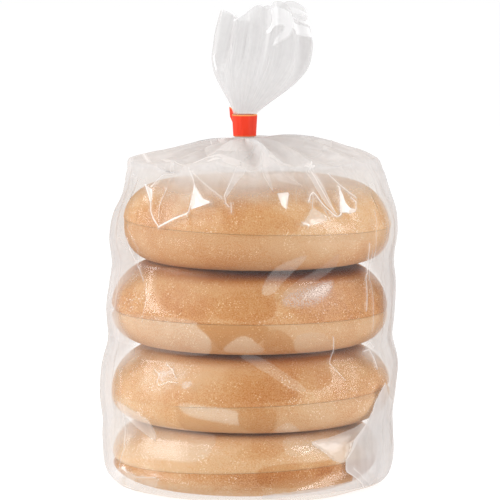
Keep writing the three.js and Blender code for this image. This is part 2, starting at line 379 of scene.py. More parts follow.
class NodeBench:
    """A material's node tree with short calls to add and link its nodes."""

    def __init__(self, name: str) -> None:
        """Start an empty material.

        Args:
            name: the material's name.
        """
        self.material = bpy.data.materials.new(name)
        self.material.use_nodes = True
        self.tree = self.material.node_tree
        self.tree.nodes.clear()

    def add(self, kind: str, values: dict[str | int, object] | None = None,
            **settings: object) -> bpy.types.Node:
        """Add a node.

        Args:
            kind: its type, without the leading ShaderNode.
            values: what goes into its inputs, by name or number; an output is linked, the rest is set.
            settings: attributes of the node itself.

        Returns:
            The new node.
        """
        node = self.tree.nodes.new("ShaderNode" + kind)
        for name, setting in settings.items():
            setattr(node, name, setting)
        for name, value in (values or {}).items():
            if isinstance(value, Socket):
                self.tree.links.new(value, node.inputs[name])
            else:
                node.inputs[name].default_value = value
        return node

    def place(self) -> Socket:
        """Return the place on the object, in its own coordinates."""
        return self.add("TexCoord").outputs["Object"]

    def stored(self, name: str) -> Socket:
        """Return the number that is stored under a name at the mesh's points."""
        return self.add("Attribute", attribute_name=name).outputs["Fac"]

    def noise(self, place: Socket, scale: float, detail: float = 2.0, roughness: float = 0.5,
              distortion: float = 0.0) -> Socket:
        """Return a soft random value at each place."""
        return self.add("TexNoise", {"Vector": place, "Scale": scale, "Detail": detail,
                                     "Roughness": roughness, "Distortion": distortion}).outputs["Fac"]

    def cells(self, place: Socket, scale: float) -> Socket:
        """Return the distance from each place to the nearest of scattered points."""
        return self.add("TexVoronoi", {"Vector": place, "Scale": scale}, feature="F1").outputs["Distance"]

    def drawn_up(self, place: Socket, share: float) -> Socket:
        """Return places whose heights count for a share, which draws a noise out upwards."""
        return self.add("Mapping", {"Vector": place, "Scale": (1.0, 1.0, share)}).outputs["Vector"]

    def math(self, operation: str, first: object, second: object = 0.0, third: object = 0.0) -> Socket:
        """Return the result of a Math node's operation."""
        return self.add("Math", {0: first, 1: second, 2: third}, operation=operation).outputs[0]

    def mixed(self, share: object, first: object, second: object) -> Socket:
        """Return a number at a share of the way from the first to the second."""
        return self.add("Mix", {0: share, 2: first, 3: second}, data_type="FLOAT").outputs[0]

    def blend(self, share: object, first: object, second: object, mode: str = "MIX") -> Socket:
        """Return a colour with a share of the second laid on the first."""
        return self.add("Mix", {0: share, 6: first, 7: second}, data_type="RGBA", blend_type=mode).outputs[2]

    def range(self, value: Socket, low: float, high: float, out_low: float, out_high: float,
              kind: str = "SMOOTHSTEP") -> Socket:
        """Return a value carried over from one range to another, and held at its ends."""
        return self.add("MapRange", {"Value": value, "From Min": low, "From Max": high, "To Min": out_low,
                                     "To Max": out_high}, interpolation_type=kind).outputs["Result"]

    def bump(self, height: Socket, strength: float, distance: float) -> Socket:
        """Return the normal of a surface with a fine relief."""
        return self.add("Bump", {"Height": height, "Strength": strength,
                                 "Distance": distance}).outputs["Normal"]

    def layered(self, share: object, under: Socket, over: Socket) -> Socket:
        """Return a shader with a share of the second laid on the first."""
        return self.add("MixShader", {"Fac": share, 1: under, 2: over}).outputs["Shader"]

    def steps(self, share: Socket, stops: tuple[tuple[float, Colour], ...]) -> Socket:
        """Return a colour that runs through several stops.

        Args:
            share: where on the ramp the colour is taken, from 0 to 1.
            stops: each stop's place on the ramp and its colour.

        Returns:
            The colour.
        """
        node = self.add("ValToRGB", {"Fac": share})
        ramp = node.color_ramp
        while len(ramp.elements) < len(stops):
            ramp.elements.new(0.5)
        for element, (place, colour) in zip(ramp.elements, stops):
            element.position = place
            element.color = colour
        return node.outputs["Color"]

    def finish(self, shader: Socket) -> bpy.types.Material:
        """Link the shader to the output and return the material."""
        self.add("OutputMaterial", {"Surface": shader})
        return self.material


@dataclass(frozen=True)
class CrustFinish:
    """The matt baked skin of a bagel, browner on its crown and pale at its waist and base."""

    name: str = "bagel_crust"
    palest: Colour = (0.745, 0.57, 0.395, 1.0)
    pale: Colour = (0.685, 0.445, 0.245, 1.0)
    golden: Colour = (0.585, 0.295, 0.112, 1.0)
    brown: Colour = (0.34, 0.132, 0.038, 1.0)
    speck: Colour = (0.97, 0.90, 0.80, 1.0)
    # The next two colours are painted shade: the first at half strength, the second the deep shadow right
    # under the bagel above.
    painted_shading: Colour = (0.71, 0.52, 0.33, 1.0)
    hidden: Colour = (0.24, 0.105, 0.036, 1.0)
    grain: float = 1900.0
    mottle: float = 95.0
    dust: float = 1000.0
    dusted: float = 150.0

    def make(self) -> bpy.types.Material:
        """Build the crust's material from several noises and two stored values: the browning, with painted
        shade on crown halves, and the painted shade between bagels, over lower halves and along the cuts.

        Returns:
            The material.
        """
        bench = NodeBench(self.name)
        place = bench.place()
        mottle = bench.noise(place, self.mottle, 5.0, 0.6)
        patches = bench.noise(place, self.mottle * 0.35, 3.0, 0.5, 0.6)
        grain = bench.noise(place, self.grain, 3.0, 0.7)
        shade = bench.stored("browning_and_shade")
        for noise, weight in ((mottle, 0.50), (patches, 0.70), (grain, 1.8)):
            shade = bench.math("MULTIPLY_ADD", bench.math("SUBTRACT", noise, 0.5), weight, shade)
        colour = bench.steps(shade, (
            (0.05, self.palest), (0.34, self.pale), (0.66, self.golden), (1.0, self.brown)))
        dust = bench.range(bench.cells(place, self.dust), 0.16, 0.34, 1.0, 0.0)
        sparse = bench.range(bench.noise(place, self.dusted, 4.0), 0.44, 0.64, 0.05, 0.9)
        colour = bench.blend(bench.math("MULTIPLY", dust, sparse), colour, self.speck)
        # Painted shade: the crust is multiplied darker, and made less glossy, where the stored shade is high.
        painted_shade = bench.stored("painted_shade")
        darker = bench.steps(painted_shade, ((0.0, WHITE), (0.5, self.painted_shading), (1.0, self.hidden)))
        relief = bench.math("MULTIPLY_ADD", grain, 0.25, bench.math("MULTIPLY", mottle, 0.9))
        skin = bench.add("BsdfPrincipled", {
            "Base Color": bench.blend(1.0, colour, darker, "MULTIPLY"), "Roughness": 0.76,
            "Specular IOR Level": bench.range(painted_shade, 0.0, 0.6, 0.24, 0.0, "LINEAR"),
            "Normal": bench.bump(relief, 0.35, 0.6 * MM), "Subsurface Weight": 0.12,
            "Subsurface Radius": (1.0, 0.55, 0.3), "Subsurface Scale": 3.0 * MM,
            "Sheen Weight": 0.02, "Sheen Roughness": 0.5,
        })
        return bench.finish(skin.outputs["BSDF"])


@dataclass(frozen=True)
class CutFinish:
    """The pale crumb of the faces between the halves of a sliced bagel, with painted shade in its pores."""

    name: str = "bagel_cut_face"
    crumb: Colour = (0.84, 0.72, 0.52, 1.0)
    # The pores' colour is painted shade in their hollows.
    pore_shade: Colour = (0.60, 0.44, 0.26, 1.0)

    def make(self) -> bpy.types.Material:
        """Build the crumb with its open pores, painted darker as shade in their hollows.

        Returns:
            The material.
        """
        bench = NodeBench(self.name)
        place = bench.place()
        pores = bench.cells(place, 420.0)
        fine = bench.noise(place, 900.0, 4.0)
        share = bench.math("MULTIPLY_ADD", fine, 0.3, bench.range(pores, 0.1, 0.45, 0.7, 0.0))
        crumb = bench.add("BsdfPrincipled", {
            "Base Color": bench.blend(share, self.crumb, self.pore_shade), "Roughness": 0.9,
            "Specular IOR Level": 0.15, "Normal": bench.bump(pores, 0.6, 0.8 * MM)})
        return bench.finish(crumb.outputs["BSDF"])


@dataclass(frozen=True)
class FilmFinish:
    """Thin clear film: it wets the bread where it clings, and looks milky where it stands off; its stored
    whiteness adds painted highlights and sheen.
    """

    name: str = "clear_film"
    clear: Colour = (0.93, 0.92, 0.915, 1.0)
    wet: Colour = (0.795, 0.67, 0.52, 1.0)
    milk: Colour = (0.70, 0.692, 0.695, 1.0)
    # Colour of the painted highlights and sheen that the stored whiteness lays on the film.
    white: Colour = (0.97, 0.97, 0.97, 1.0)
    haze_on_bread: float = 0.0
    haze_off_bread: float = 0.02
    haze_tent: float = 0.46
    haze_most: float = 0.92
    shines_through: float = 0.4
    gloss_face_on: float = 0.03
    gloss_edge_on: float = 0.03
    roughness: float = 0.09
    roughness_on_bread: float = 0.36
    roughness_gathered: float = 0.2
    gloss_gathered: float = 0.4

    def haze(self, bench: NodeBench, place: Socket, gap: Socket, veil: Socket) -> Socket:
        """Add up the film's haze from its lift, its streaks and the tent's gathers.

        Args:
            bench: the material's nodes.
            place: object coordinates.
            gap: how far the film stands off the bread.
            veil: how gathered or slack it is.

        Returns:
            The share of milk.
        """
        flat = bench.add("Attribute", attribute_name="unrolled").outputs["Vector"]
        streaks = bench.noise(bench.drawn_up(flat, 0.10), 150.0, 2.0, 0.5, 0.3)
        clouds = bench.noise(place, 70.0, 3.0)
        off = bench.range(gap, 0.0, 1.0, self.haze_on_bread, self.haze_off_bread, "LINEAR")
        off = bench.math("MULTIPLY_ADD", veil, self.haze_tent, off)
        vary = bench.math("ADD", bench.range(streaks, 0.30, 0.72, 0.86, 1.16, "LINEAR"),
                          bench.range(clouds, 0.35, 0.65, -0.16, 0.16, "LINEAR"))
        return bench.math("MULTIPLY", off, vary)

    def make(self) -> bpy.types.Material:
        """Build the film's material from the values that are stored at its points.

        Returns:
            The material.
        """
        bench = NodeBench(self.name)
        place = bench.place()
        gap, veil = bench.stored("gap"), bench.stored("veil")
        tint = bench.blend(gap, self.wet, self.clear)
        clear = bench.add("BsdfTransparent", {"Color": tint}).outputs["BSDF"]
        # Painted highlights and sheen: the stored whiteness lays a lit white layer over the film, speckled as
        # painted glints where the film clings.
        grit = bench.noise(place, 2300.0, 2.0, 0.7)
        sparkle = bench.mixed(gap, bench.range(grit, 0.38, 0.62, 0.3, 1.8), 1.0)
        line = bench.math("MULTIPLY", bench.stored("white"), sparkle)
        colour = bench.blend(line, self.milk, self.white)
        front = bench.add("BsdfDiffuse", {"Color": colour, "Roughness": 0.3}).outputs["BSDF"]
        back = bench.add("BsdfTranslucent", {"Color": colour}).outputs["BSDF"]
        share = bench.math("ADD", self.haze(bench, place, gap, veil), line)
        share = bench.math("MINIMUM", share, self.haze_most)
        body = bench.layered(share, clear, bench.layered(self.shines_through, front, back))
        facing = bench.add("LayerWeight", {"Blend": 0.5}).outputs["Facing"]
        shine = bench.math("MULTIPLY_ADD", bench.math("POWER", facing, 5.0), self.gloss_edge_on,
                           self.gloss_face_on)
        shine = bench.math("MULTIPLY", shine, bench.mixed(veil, 1.0, self.gloss_gathered))
        pressed = bench.math("MULTIPLY", grit, bench.math("SUBTRACT", 1.0, gap))
        relief = bench.math("MULTIPLY_ADD", pressed, 2.2, bench.noise(place, 330.0, 3.0, 0.6))
        rough = bench.range(gap, 0.1, 0.9, self.roughness_on_bread, self.roughness)
        rough = bench.mixed(veil, rough, self.roughness_gathered)
        gloss = bench.add("BsdfGlossy", {"Color": WHITE, "Roughness": rough,
                                         "Normal": bench.bump(relief, 0.25, 0.5 * MM)}).outputs["BSDF"]
        return bench.finish(bench.layered(shine, body, gloss))


@dataclass(frozen=True)
class TapeFinish:
    """Satin red adhesive tape, with painted shade in streaks that run up it, standing for its gathers."""

    name: str = "red_neck_tape"
    red: Colour = (0.70, 0.036, 0.010, 1.0)
    shaded_red: Colour = (0.56, 0.022, 0.006, 1.0)
    edge: Colour = (0.85, 0.50, 0.16, 1.0)

    def make(self) -> bpy.types.Material:
        """Build the tape's material, with a paler line of adhesive along its cut edges.

        Returns:
            The material.
        """
        bench = NodeBench(self.name)
        place = bench.place()
        bands = bench.noise(bench.drawn_up(place, 0.12), 260.0, 3.0)
        fine = bench.noise(place, 1400.0, 3.0)
        # Painted shade: the red is darker along the streaks, as shade in the tape's wrinkles.
        share = bench.range(bench.math("MULTIPLY_ADD", fine, 0.25, bands), 0.55, 0.85, 0.0, 0.6)
        colour = bench.blend(bench.stored("edge"), bench.blend(share, self.red, self.shaded_red), self.edge)
        tape = bench.add("BsdfPrincipled", {
            "Base Color": colour, "Roughness": 0.5, "Specular IOR Level": 0.22,
            "Normal": bench.bump(bands, 0.3, 0.3 * MM)})
        return bench.finish(tape.outputs["BSDF"])


@dataclass(frozen=True)
class PaperFinish:
    """The plain white floor that the bag stands on."""

    name: str = "white_sweep"
    white: Colour = (0.35, 0.35, 0.35, 1.0)
    glow: float = 0.80

    def make(self) -> bpy.types.Material:
        """Build a plain matt white with a barely visible tooth.

        Returns:
            The material.
        """
        bench = NodeBench(self.name)
        tooth = bench.noise(bench.place(), 300.0)
        paper = bench.add("BsdfPrincipled", {
            "Base Color": self.white, "Roughness": 0.95, "Specular IOR Level": 0.1,
            "Normal": bench.bump(tooth, 0.02, 0.2 * MM),
            "Emission Color": WHITE, "Emission Strength": self.glow})
        return bench.finish(paper.outputs["BSDF"])


# ---- Meshes ----


def grid_faces(rows: int, columns: int) -> Array:
    """Return the quads of a grid that closes round its columns.

    Args:
        rows: number of rings.
        columns: points in each ring.

    Returns:
        Corner indices, four to a row.
    """
    ring = np.arange(rows - 1)[:, None] * columns
    here = np.arange(columns)[None, :]
    after = (here + 1) % columns
    quads = np.stack([ring + here, ring + after, ring + columns + after, ring + columns + here], axis=-1)
    return quads.reshape(-1, 4)


def new_object(name: str, points: Array, quads: Array, caps: tuple[tuple[int, ...], ...] = ()) -> Object:
    """Make a smooth-shaded mesh object.

    Args:
        name: the object's name.
        points: vertex places.
        quads: faces as rows of corners.
        caps: more faces, of any number of corners.

    Returns:
        The new object, linked to the scene.
    """
    mesh = bpy.data.meshes.new(name)
    mesh.from_pydata(points.reshape(-1, 3).tolist(), [], quads.tolist() + list(caps))
    mesh.polygons.foreach_set("use_smooth", np.ones(len(mesh.polygons), dtype=bool))
    mesh.update()
    made = bpy.data.objects.new(name, mesh)
    bpy.context.scene.collection.objects.link(made)
    return made


def paint(made: Object, attribute: str, values: Array) -> None:
    """Store one number per vertex under a name that a material reads."""
    layer = made.data.attributes.new(attribute, "FLOAT", "POINT")
    layer.data.foreach_set("value", np.asarray(values, dtype=np.float32).ravel())


# ---- The bagels ----


class Side(Enum):
    """Which side of a bagel is up."""

    CROWN_UP = "crown_up"
    BASE_UP = "base_up"


@dataclass(frozen=True)
class Bagel:
    """One sliced bagel: a squat ring with a domed crown and a flat base, cut through at its waist."""

    number: int
    centre_x: float
    base: float
    seam: float
    top: float
    half_width: float
    half_depth: float
    seam_tilt: float = 0.0
    up: Side = Side.CROWN_UP
    shift: float = 0.0
    slit_angles: tuple[float, float] | None = None
    lower_brown: float = 0.25
    upper_brown: float = 0.62
    # How strong the painted shade is over the lower half and in the shadow under the bagel above, and where
    # on the upper half that shadow starts.
    lower_painted_shade: float = 0.35
    shadow_from_above: float = 1.0
    shade_from: float = 0.78
    hole: float = 10.5 * MM
    cut_gap: float = 0.11 * MM
    crown_power: float = 2.3
    base_power: float = 3.2
    seed: int = 1

    AROUND = 144
    PROFILE = 56

    def powers(self, upper: bool) -> tuple[float, float]:
        """Return the two exponents of the upper or lower half's profile."""
        crown = upper == (self.up is Side.CROWN_UP)
        return (self.crown_power, 2.0) if crown else (self.base_power, 2.3)

    def reach(self, angle: Array) -> Array:
        """Return the bagel's outer radius at its waist in each direction."""
        return oval_radius(self.half_width, self.half_depth, 2.0, angle)

    def wobble(self, points: Array) -> Array:
        """Return the slow unevenness of the hand-shaped dough, in metres."""
        return (0.55 * smooth_noise(self.seed, points, 22 * MM)
                + 0.22 * smooth_noise(self.seed + 50, points, 8 * MM)) * MM

    def joined(self, angle: Array) -> Array:
        """Return where the cut leaves the two halves joined: 1 there and 0 where it is open.

        Args:
            angle: directions in radians.

        Returns:
            How joined the halves are in each direction.
        """
        if self.slit_angles is None:
            return np.zeros_like(angle)
        start, end = self.slit_angles
        degrees = np.degrees(angle)
        return ease(degrees, start - 1.5, start) * (1.0 - ease(degrees, end, end + 1.0))

    def seam_height(self, across: Array) -> Array:
        """Return the height of the cut at a place across the bagel."""
        return self.seam + self.seam_tilt * across

    def outer_radius(self, angle: Array, height: Array) -> Array:
        """Return how far the bread reaches from the bagel's middle, or 0 above and below it.

        Args:
            angle: directions in radians.
            height: heights above the bag's base.

        Returns:
            The outer radius at each place.
        """
        waist = self.reach(angle)
        seam = self.seam_height(waist * np.cos(angle))
        middle = (waist + self.hole) / 2.0
        half = waist - middle
        result = np.zeros(np.broadcast(angle, height).shape)
        for upper in (True, False):
            across, along = self.powers(upper)
            reach = (self.top - seam) if upper else (seam - self.base)
            rise = (height - seam) / reach if upper else (seam - height) / reach
            inside = (rise >= 0.0) & (rise < 1.0)
            share = np.maximum(0.0, 1.0 - np.clip(rise, 0.0, 1.0) ** along) ** (1.0 / across)
            result = np.where(inside, middle + half * share, result)
        return result

    def painted_shading(self, upper: bool, rise: Array, angle: Array) -> Array:
        """Return the painted shade on the skin: a shadow under the bagel above, shade over the lower half
        that deepens towards its underside, and a dark line along the cut.

        Args:
            upper: True for the half above the cut.
            rise: share of the half's height, 0 at the cut.
            angle: directions in radians.

        Returns:
            The painted shade, from 0 to 1.
        """
        open_cut = 1.0 - self.joined(angle)
        if upper:
            # Painted shadow under the bagel above, stronger in front, and a painted dark line along the cut.
            to_front = mix(0.3, 1.0, ease(np.degrees(angle), 205.0, 268.0))
            under = ease(rise, self.shade_from + mix(0.10, 0.0, to_front), self.shade_from + 0.24)
            darker = self.shadow_from_above * to_front * under + 0.1 * (1.0 - ease(rise, 0.0, 0.03)) * open_cut
        else:
            # Painted shade over the lower half, deeper towards its underside and at its bottom edge.
            darker = self.lower_painted_shade * open_cut * mix(0.75, 1.15, ease(rise, 0.0, 0.8))
            darker = darker + 0.15 * ease(rise, 0.95, 1.0)
        return np.clip(darker, 0.0, 1.0)

    def half_mesh(self, upper: bool) -> tuple[Array, Array, Array]:
        """Return one half's rings of points, each point's browning with the crown's painted shade, and its
        other painted shade.

        Args:
            upper: True for the half above the cut.

        Returns:
            The points, ring by ring, and the browning and painted shade of each.
        """
        angle = (np.arange(self.AROUND) / self.AROUND * FULL_TURN)[None, :]
        turn = np.linspace(0.0, np.pi, self.PROFILE)[:, None]
        across_power, along_power = self.powers(upper)
        waist = self.reach(angle)
        middle = (waist + self.hole) / 2.0
        half = waist - middle
        sideways = np.sign(np.cos(turn)) * np.abs(np.cos(turn)) ** (2.0 / across_power)
        rise = np.abs(np.sin(turn)) ** (2.0 / along_power)
        radius = middle + half * sideways
        seam = self.seam_height(radius * np.cos(angle))
        reach = (self.top - seam) if upper else -(seam - self.base)
        gap = self.cut_gap / 2.0 if upper else -self.cut_gap / 2.0
        joined = self.joined(angle)
        gap = gap * (1.0 - joined)
        lip = mix(0.5 * MM * ease(rise, 0.0, 0.08 if upper else 0.2), 0.5 * MM, joined)
        height = seam + gap + (reach - gap) * rise
        points = ring_points(self.centre_x, 0.0, radius - 0.5 * MM + lip, angle, height)
        push = self.wobble(points) * mix(ease(rise, 0.0, 0.15), 1.0, joined)
        outward = np.where(sideways > 0, 1.0, -1.0) * (1.0 - rise ** 4)
        points[..., 0] += push * outward * np.cos(angle)
        points[..., 1] += push * outward * np.sin(angle)
        points[..., 2] += push * 0.5 * rise * (1.0 if upper else 0.0)
        if upper:
            points[..., 0] += self.shift
        browning_and_shade = self.baked_and_shaded(upper, rise, joined, points)
        return points, browning_and_shade, self.painted_shading(upper, rise, angle) * np.ones_like(browning_and_shade)

    def baked_and_shaded(self, upper: bool, rise: Array, joined: Array, points: Array) -> Array:
        """Return how browned the skin is, from pale 0 to brown 1, with painted shade on a crown half: browner
        towards the cut and paler towards its top.

        Args:
            upper: True for the half above the cut.
            rise: share of the half's height, 0 at the cut.
            joined: where the cut leaves the halves joined.
            points: the points themselves.

        Returns:
            The browning, with painted shade on a crown half, at each point.
        """
        crown = upper == (self.up is Side.CROWN_UP)
        level = self.upper_brown if upper else self.lower_brown
        cloud = 0.10 * smooth_noise(self.seed + 9, points, 14 * MM)
        # On a crown half, painted shade: browner towards the cut and paler towards the top, as light from
        # above falls off.
        if crown:
            baked = level * mix(1.14, 0.80, ease(rise, 0.1, 0.9))
        else:
            baked = level * mix(0.74, 1.12, ease(rise, 0.2, 0.9))
        if not upper:
            baked = mix(baked, self.upper_brown * mix(0.86, 0.6, rise), joined)
        return np.clip(baked + cloud, 0.0, 1.0)

    def build(self, crust: bpy.types.Material, crumb: bpy.types.Material) -> list[Object]:
        """Make the bagel's halves.

        Args:
            crust: material of the skin.
            crumb: material of the cut faces.

        Returns:
            The two halves.
        """
        skin = grid_faces(self.PROFILE, self.AROUND)
        here = self.PROFILE * self.AROUND + np.arange(self.AROUND)
        after = np.roll(here, -1)
        quads = np.vstack([skin, np.stack([here, here + self.AROUND, after + self.AROUND, after], axis=-1)])
        on_cut = np.arange(len(quads)) >= len(skin)
        halves = []
        for upper, word in ((True, "upper"), (False, "lower")):
            rings = (values[::-1] if upper else values for values in self.half_mesh(upper))
            points, browning_and_shade, painted_shade = (np.concatenate([ring, ring[[0, -1]]]) for ring in rings)
            half = new_object(f"bagel_{self.number}_{word}_half", points, quads)
            half.data.materials.append(crust)
            half.data.materials.append(crumb)
            half.data.polygons.foreach_set("material_index", on_cut.astype(np.int32))
            half.data.polygons.foreach_set("use_smooth", ~on_cut)
            paint(half, "browning_and_shade", browning_and_shade)
            paint(half, "painted_shade", painted_shade)
            halves.append(half)
        return halves


@dataclass(frozen=True)
class BagelStack:
    """The four bagels, from the floor up; the lowest lies on its crown."""

    bagels: tuple[Bagel, ...] = (
        Bagel(4, -1.5 * MM, 0.5 * MM, 13.1 * MM, 27.8 * MM, 56.0 * MM, 55.6 * MM, 0.035,
              Side.BASE_UP, lower_brown=0.44, upper_brown=0.12, seed=41, lower_painted_shade=0.10, shadow_from_above=0.4),
        Bagel(3, 0.2 * MM, 27.6 * MM, 40.8 * MM, 60.8 * MM, 58.6 * MM, 56.8 * MM, 0.029,
              lower_brown=0.14, upper_brown=0.36, seed=31, slit_angles=(150.0, 236.5), lower_painted_shade=0.18,
              shadow_from_above=0.72, shade_from=0.72),
        Bagel(2, 0.2 * MM, 60.4 * MM, 74.9 * MM, 95.9 * MM, 58.2 * MM, 56.6 * MM, 0.0,
              lower_brown=0.26, upper_brown=0.62, seed=21, lower_painted_shade=0.34,
              shade_from=0.68),
        Bagel(1, 3.2 * MM, 95.3 * MM, 112.0 * MM, 130.0 * MM, 57.0 * MM, 56.4 * MM, -0.025,
              lower_brown=0.30, upper_brown=0.40, seed=11, lower_painted_shade=0.34, shadow_from_above=0.0),
    )

    def build(self, crust: bpy.types.Material, crumb: bpy.types.Material) -> list[Object]:
        """Make every bagel's pieces."""
        return [piece for bagel in self.bagels for piece in bagel.build(crust, crumb)]


# ---- The film ----


@dataclass(frozen=True)
class Link:
    """A family of neighbours in the film's grid, of which no two share a point."""

    first: tuple[Array, Array]
    second: tuple[Array, Array]
    kind: str


@dataclass
class SlackSheet:
    """A grid of points that keeps its lengths, can't enter the bread and stays near its own form."""

    form: Array
    excess_round: Array
    excess_up: Array
    cap: Array
    press: Array
    bread: "BreadTable"
    bend: float = 0.05
    keep_speed: float = 0.93

    def links(self) -> list[Link]:
        """Find the neighbours along both ways, across both diagonals and two steps apart.

        Returns:
            The families of links, in the order in which they are pulled.
        """
        rows, columns = self.form.shape[:2]
        every_row, every_column = np.arange(rows), np.arange(columns)
        tall = np.arange(rows - 2)
        found = []
        for parity in (0, 1):
            found.append(self.link(every_row, every_column[parity::2], 0, 1, "round"))
            some = np.arange(parity, rows - 1, 2)
            found.append(self.link(some, every_column, 1, 0, "up"))
            found.append(self.link(some, every_column, 1, 1, "across"))
            found.append(self.link(some, every_column, 1, -1, "across"))
            found.append(self.link(every_row, every_column[(every_column % 4) // 2 == parity], 0, 2, "bend"))
            found.append(self.link(tall[(tall % 4) // 2 == parity], every_column, 2, 0, "bend"))
        return found

    def link(self, rows: Array, columns: Array, row_step: int, column_step: int, kind: str) -> Link:
        """Return one family of links from each given point to the one a step away."""
        total = self.form.shape[1]
        return Link(np.ix_(rows, columns), np.ix_(rows + row_step, (columns + column_step) % total), kind)

    def rest(self, link: Link) -> Array:
        """Return the lengths that a family's links keep, which are longer where the film is slack.

        Args:
            link: the family.

        Returns:
            The length of each of its links.
        """
        length = np.sqrt(((self.form[link.second] - self.form[link.first]) ** 2).sum(-1))
        around = 1.0 + self.excess_round[link.first]
        upward = 1.0 + self.excess_up[link.first]
        slack = {"round": around, "up": upward}
        return length * slack.get(link.kind, (around + upward) / 2.0)

    def settle(self, start: Array, steps: int) -> Array:
        """Let the sheet move until its folds have formed.

        Args:
            start: where its points begin.
            steps: how many times each length is corrected.

        Returns:
            The places of its points at the end.
        """
        places, before = start.copy(), start.copy()
        free = (self.cap > 0.0).astype(float)
        links = [(link, self.rest(link)) for link in self.links()]
        for _ in range(steps):
            speed = (places - before) * self.keep_speed
            before = places.copy()
            reach = np.hypot(places[..., 0], places[..., 1])[..., None]
            inward = np.concatenate([-places[..., :2] / np.maximum(reach, SMALLEST),
                                     np.zeros_like(reach)], axis=-1)
            places += (speed + inward * self.press[..., None]) * free[..., None]
            for link, rest in links:
                stiffness = self.bend if link.kind == "bend" else 1.0
                self.pull(places, link, rest, stiffness, free)
            self.bread.push_out(places)
            drift = places - self.form
            far = np.sqrt((drift ** 2).sum(-1))
            held = np.minimum(1.0, self.cap / np.maximum(far, SMALLEST))
            places = self.form + drift * held[..., None]
        return places

    @staticmethod
    def pull(places: Array, link: Link, rest: Array, stiffness: float, free: Array) -> None:
        """Move both ends of each link towards its rest length.

        Args:
            places: the points, changed in place.
            link: the family of links.
            rest: their lengths at rest.
            stiffness: share of the difference that is taken up.
            free: 1 for a point that may move and 0 for a held one.
        """
        first, second = places[link.first], places[link.second]
        span = second - first
        length = np.sqrt((span ** 2).sum(-1))
        loose_first, loose_second = free[link.first], free[link.second]
        share = stiffness * (length - rest) / np.maximum(length, SMALLEST)
        share /= np.maximum(loose_first + loose_second, 1.0)
        places[link.first] = first + span * (share * loose_first)[..., None]
        places[link.second] = second - span * (share * loose_second)[..., None]


@dataclass
class BreadTable:
    """How far the bread reaches from the bag's axis, by direction and height."""

    stack: BagelStack
    columns: int
    skin: float = 0.15 * MM
    step: float = 0.25 * MM
    top: float = 133.0 * MM

    def __post_init__(self) -> None:
        """Work out the table once."""
        angle = (np.arange(self.columns) / self.columns * FULL_TURN)[:, None]
        height = np.arange(0.0, self.top, self.step)[None, :]
        reaches = [bagel.outer_radius(angle, height) + bagel.centre_x * np.cos(angle)
                   for bagel in self.stack.bagels]
        self.reach = np.max(reaches, axis=0)

    def bridged(self, angle: Array, height: Array, roundness: float = 20.0 * MM) -> Array:
        """Return the reach of a film drawn over the bagels, which spans the gaps between them.

        Args:
            angle: directions in radians.
            height: heights above the base.
            roundness: how tightly the film turns into a gap.

        Returns:
            The film's distance from the bag's axis.
        """
        offsets = np.arange(-72, 73)
        drop = (offsets * self.step) ** 2 / (2.0 * roundness)
        padded = np.pad(self.reach, ((0, 0), (72, 72)), mode="edge")
        length = self.reach.shape[1]
        spanned = np.max([padded[:, 72 + k:72 + k + length] - fall for k, fall in zip(offsets, drop)], axis=0)
        level = np.clip(height / self.step, 0, length - 1.001)
        low = level.astype(int)
        column = np.round(angle / FULL_TURN * self.columns).astype(int) % self.columns
        return mix(spanned[column, low], spanned[column, low + 1], level - low) + self.skin

    def push_out(self, places: Array) -> None:
        """Move points that are inside the bread out to its skin.

        Args:
            places: the points, changed in place.
        """
        levels = np.round(places[..., 2] / self.step).astype(int)
        known = (levels >= 0) & (levels < self.reach.shape[1])
        levels = np.clip(levels, 0, self.reach.shape[1] - 1)
        angle = np.arctan2(places[..., 1], places[..., 0]) / FULL_TURN * self.columns
        column = np.round(angle).astype(int) % self.columns
        limit = self.reach[column, levels] + self.skin
        distance = np.hypot(places[..., 0], places[..., 1])
        inside = known & (distance < limit) & (distance > 0.6 * limit)
        grow = np.where(inside, limit / np.maximum(distance, SMALLEST), 1.0)
        places[..., :2] *= grow[..., None]


@dataclass(frozen=True)
class FacetField:
    """Flat facets between scattered points of the unrolled film, each point pressed in or lifted."""

    length: float
    spacing: float
    seed: int
    round_trip: float
    jitter: float = 0.42

    def corners(self) -> list[tuple[float, float, float]]:
        """Scatter the facets' corners over the film.

        Returns:
            Each corner's place round the film, its place up it and its height.
        """
        dice = np.random.default_rng(self.seed)
        columns = max(3, round(self.round_trip / self.spacing))
        rows = max(2, round(self.length / self.spacing)) + 2
        pitch = self.round_trip / columns
        found = []
        for row in range(-1, rows):
            for column in range(columns):
                shift = dice.uniform(-self.jitter, self.jitter, 2)
                place = (column + 0.5 * (row % 2) + shift[0]) * pitch % self.round_trip
                found.append((place, (row + shift[1]) * self.spacing, float(dice.uniform(-1.0, 1.0))))
        return found

    def heights(self, place: Array, up: Array) -> Array:
        """Return the height of the facets at each point of the film.

        Args:
            place: distances round the unrolled film.
            up: distances up the unrolled film.

        Returns:
            The height at each point, from -1 to 1.
        """
        corners = self.corners()
        margin = 3.0 * self.spacing
        copies = list(corners)
        copies += [(x + turn * self.round_trip, y, h) for x, y, h in corners for turn in (-1, 1)
                   if -margin < x + turn * self.round_trip < self.round_trip + margin]
        flat = [Vector((x, y)) for x, y, _ in copies]
        verts, _, faces, origins, *_ = delaunay_2d_cdt(flat, [], [], 0, 1e-7)
        relief = [Vector((v.x, v.y, copies[origin[0]][2] if origin else 0.0))
                  for v, origin in zip(verts, origins)]
        tree = BVHTree.FromPolygons(relief, [tuple(face) for face in faces])
        down = Vector((0.0, 0.0, -1.0))
        result = np.zeros(place.shape)
        for index in np.ndindex(place.shape):
            hit = tree.ray_cast(Vector((place[index], up[index], 5.0)), down)
            result[index] = hit[0].z if hit[0] is not None else 0.0
        return result


# ---- Marks on the film: folds, flat panes and clinging patches ----


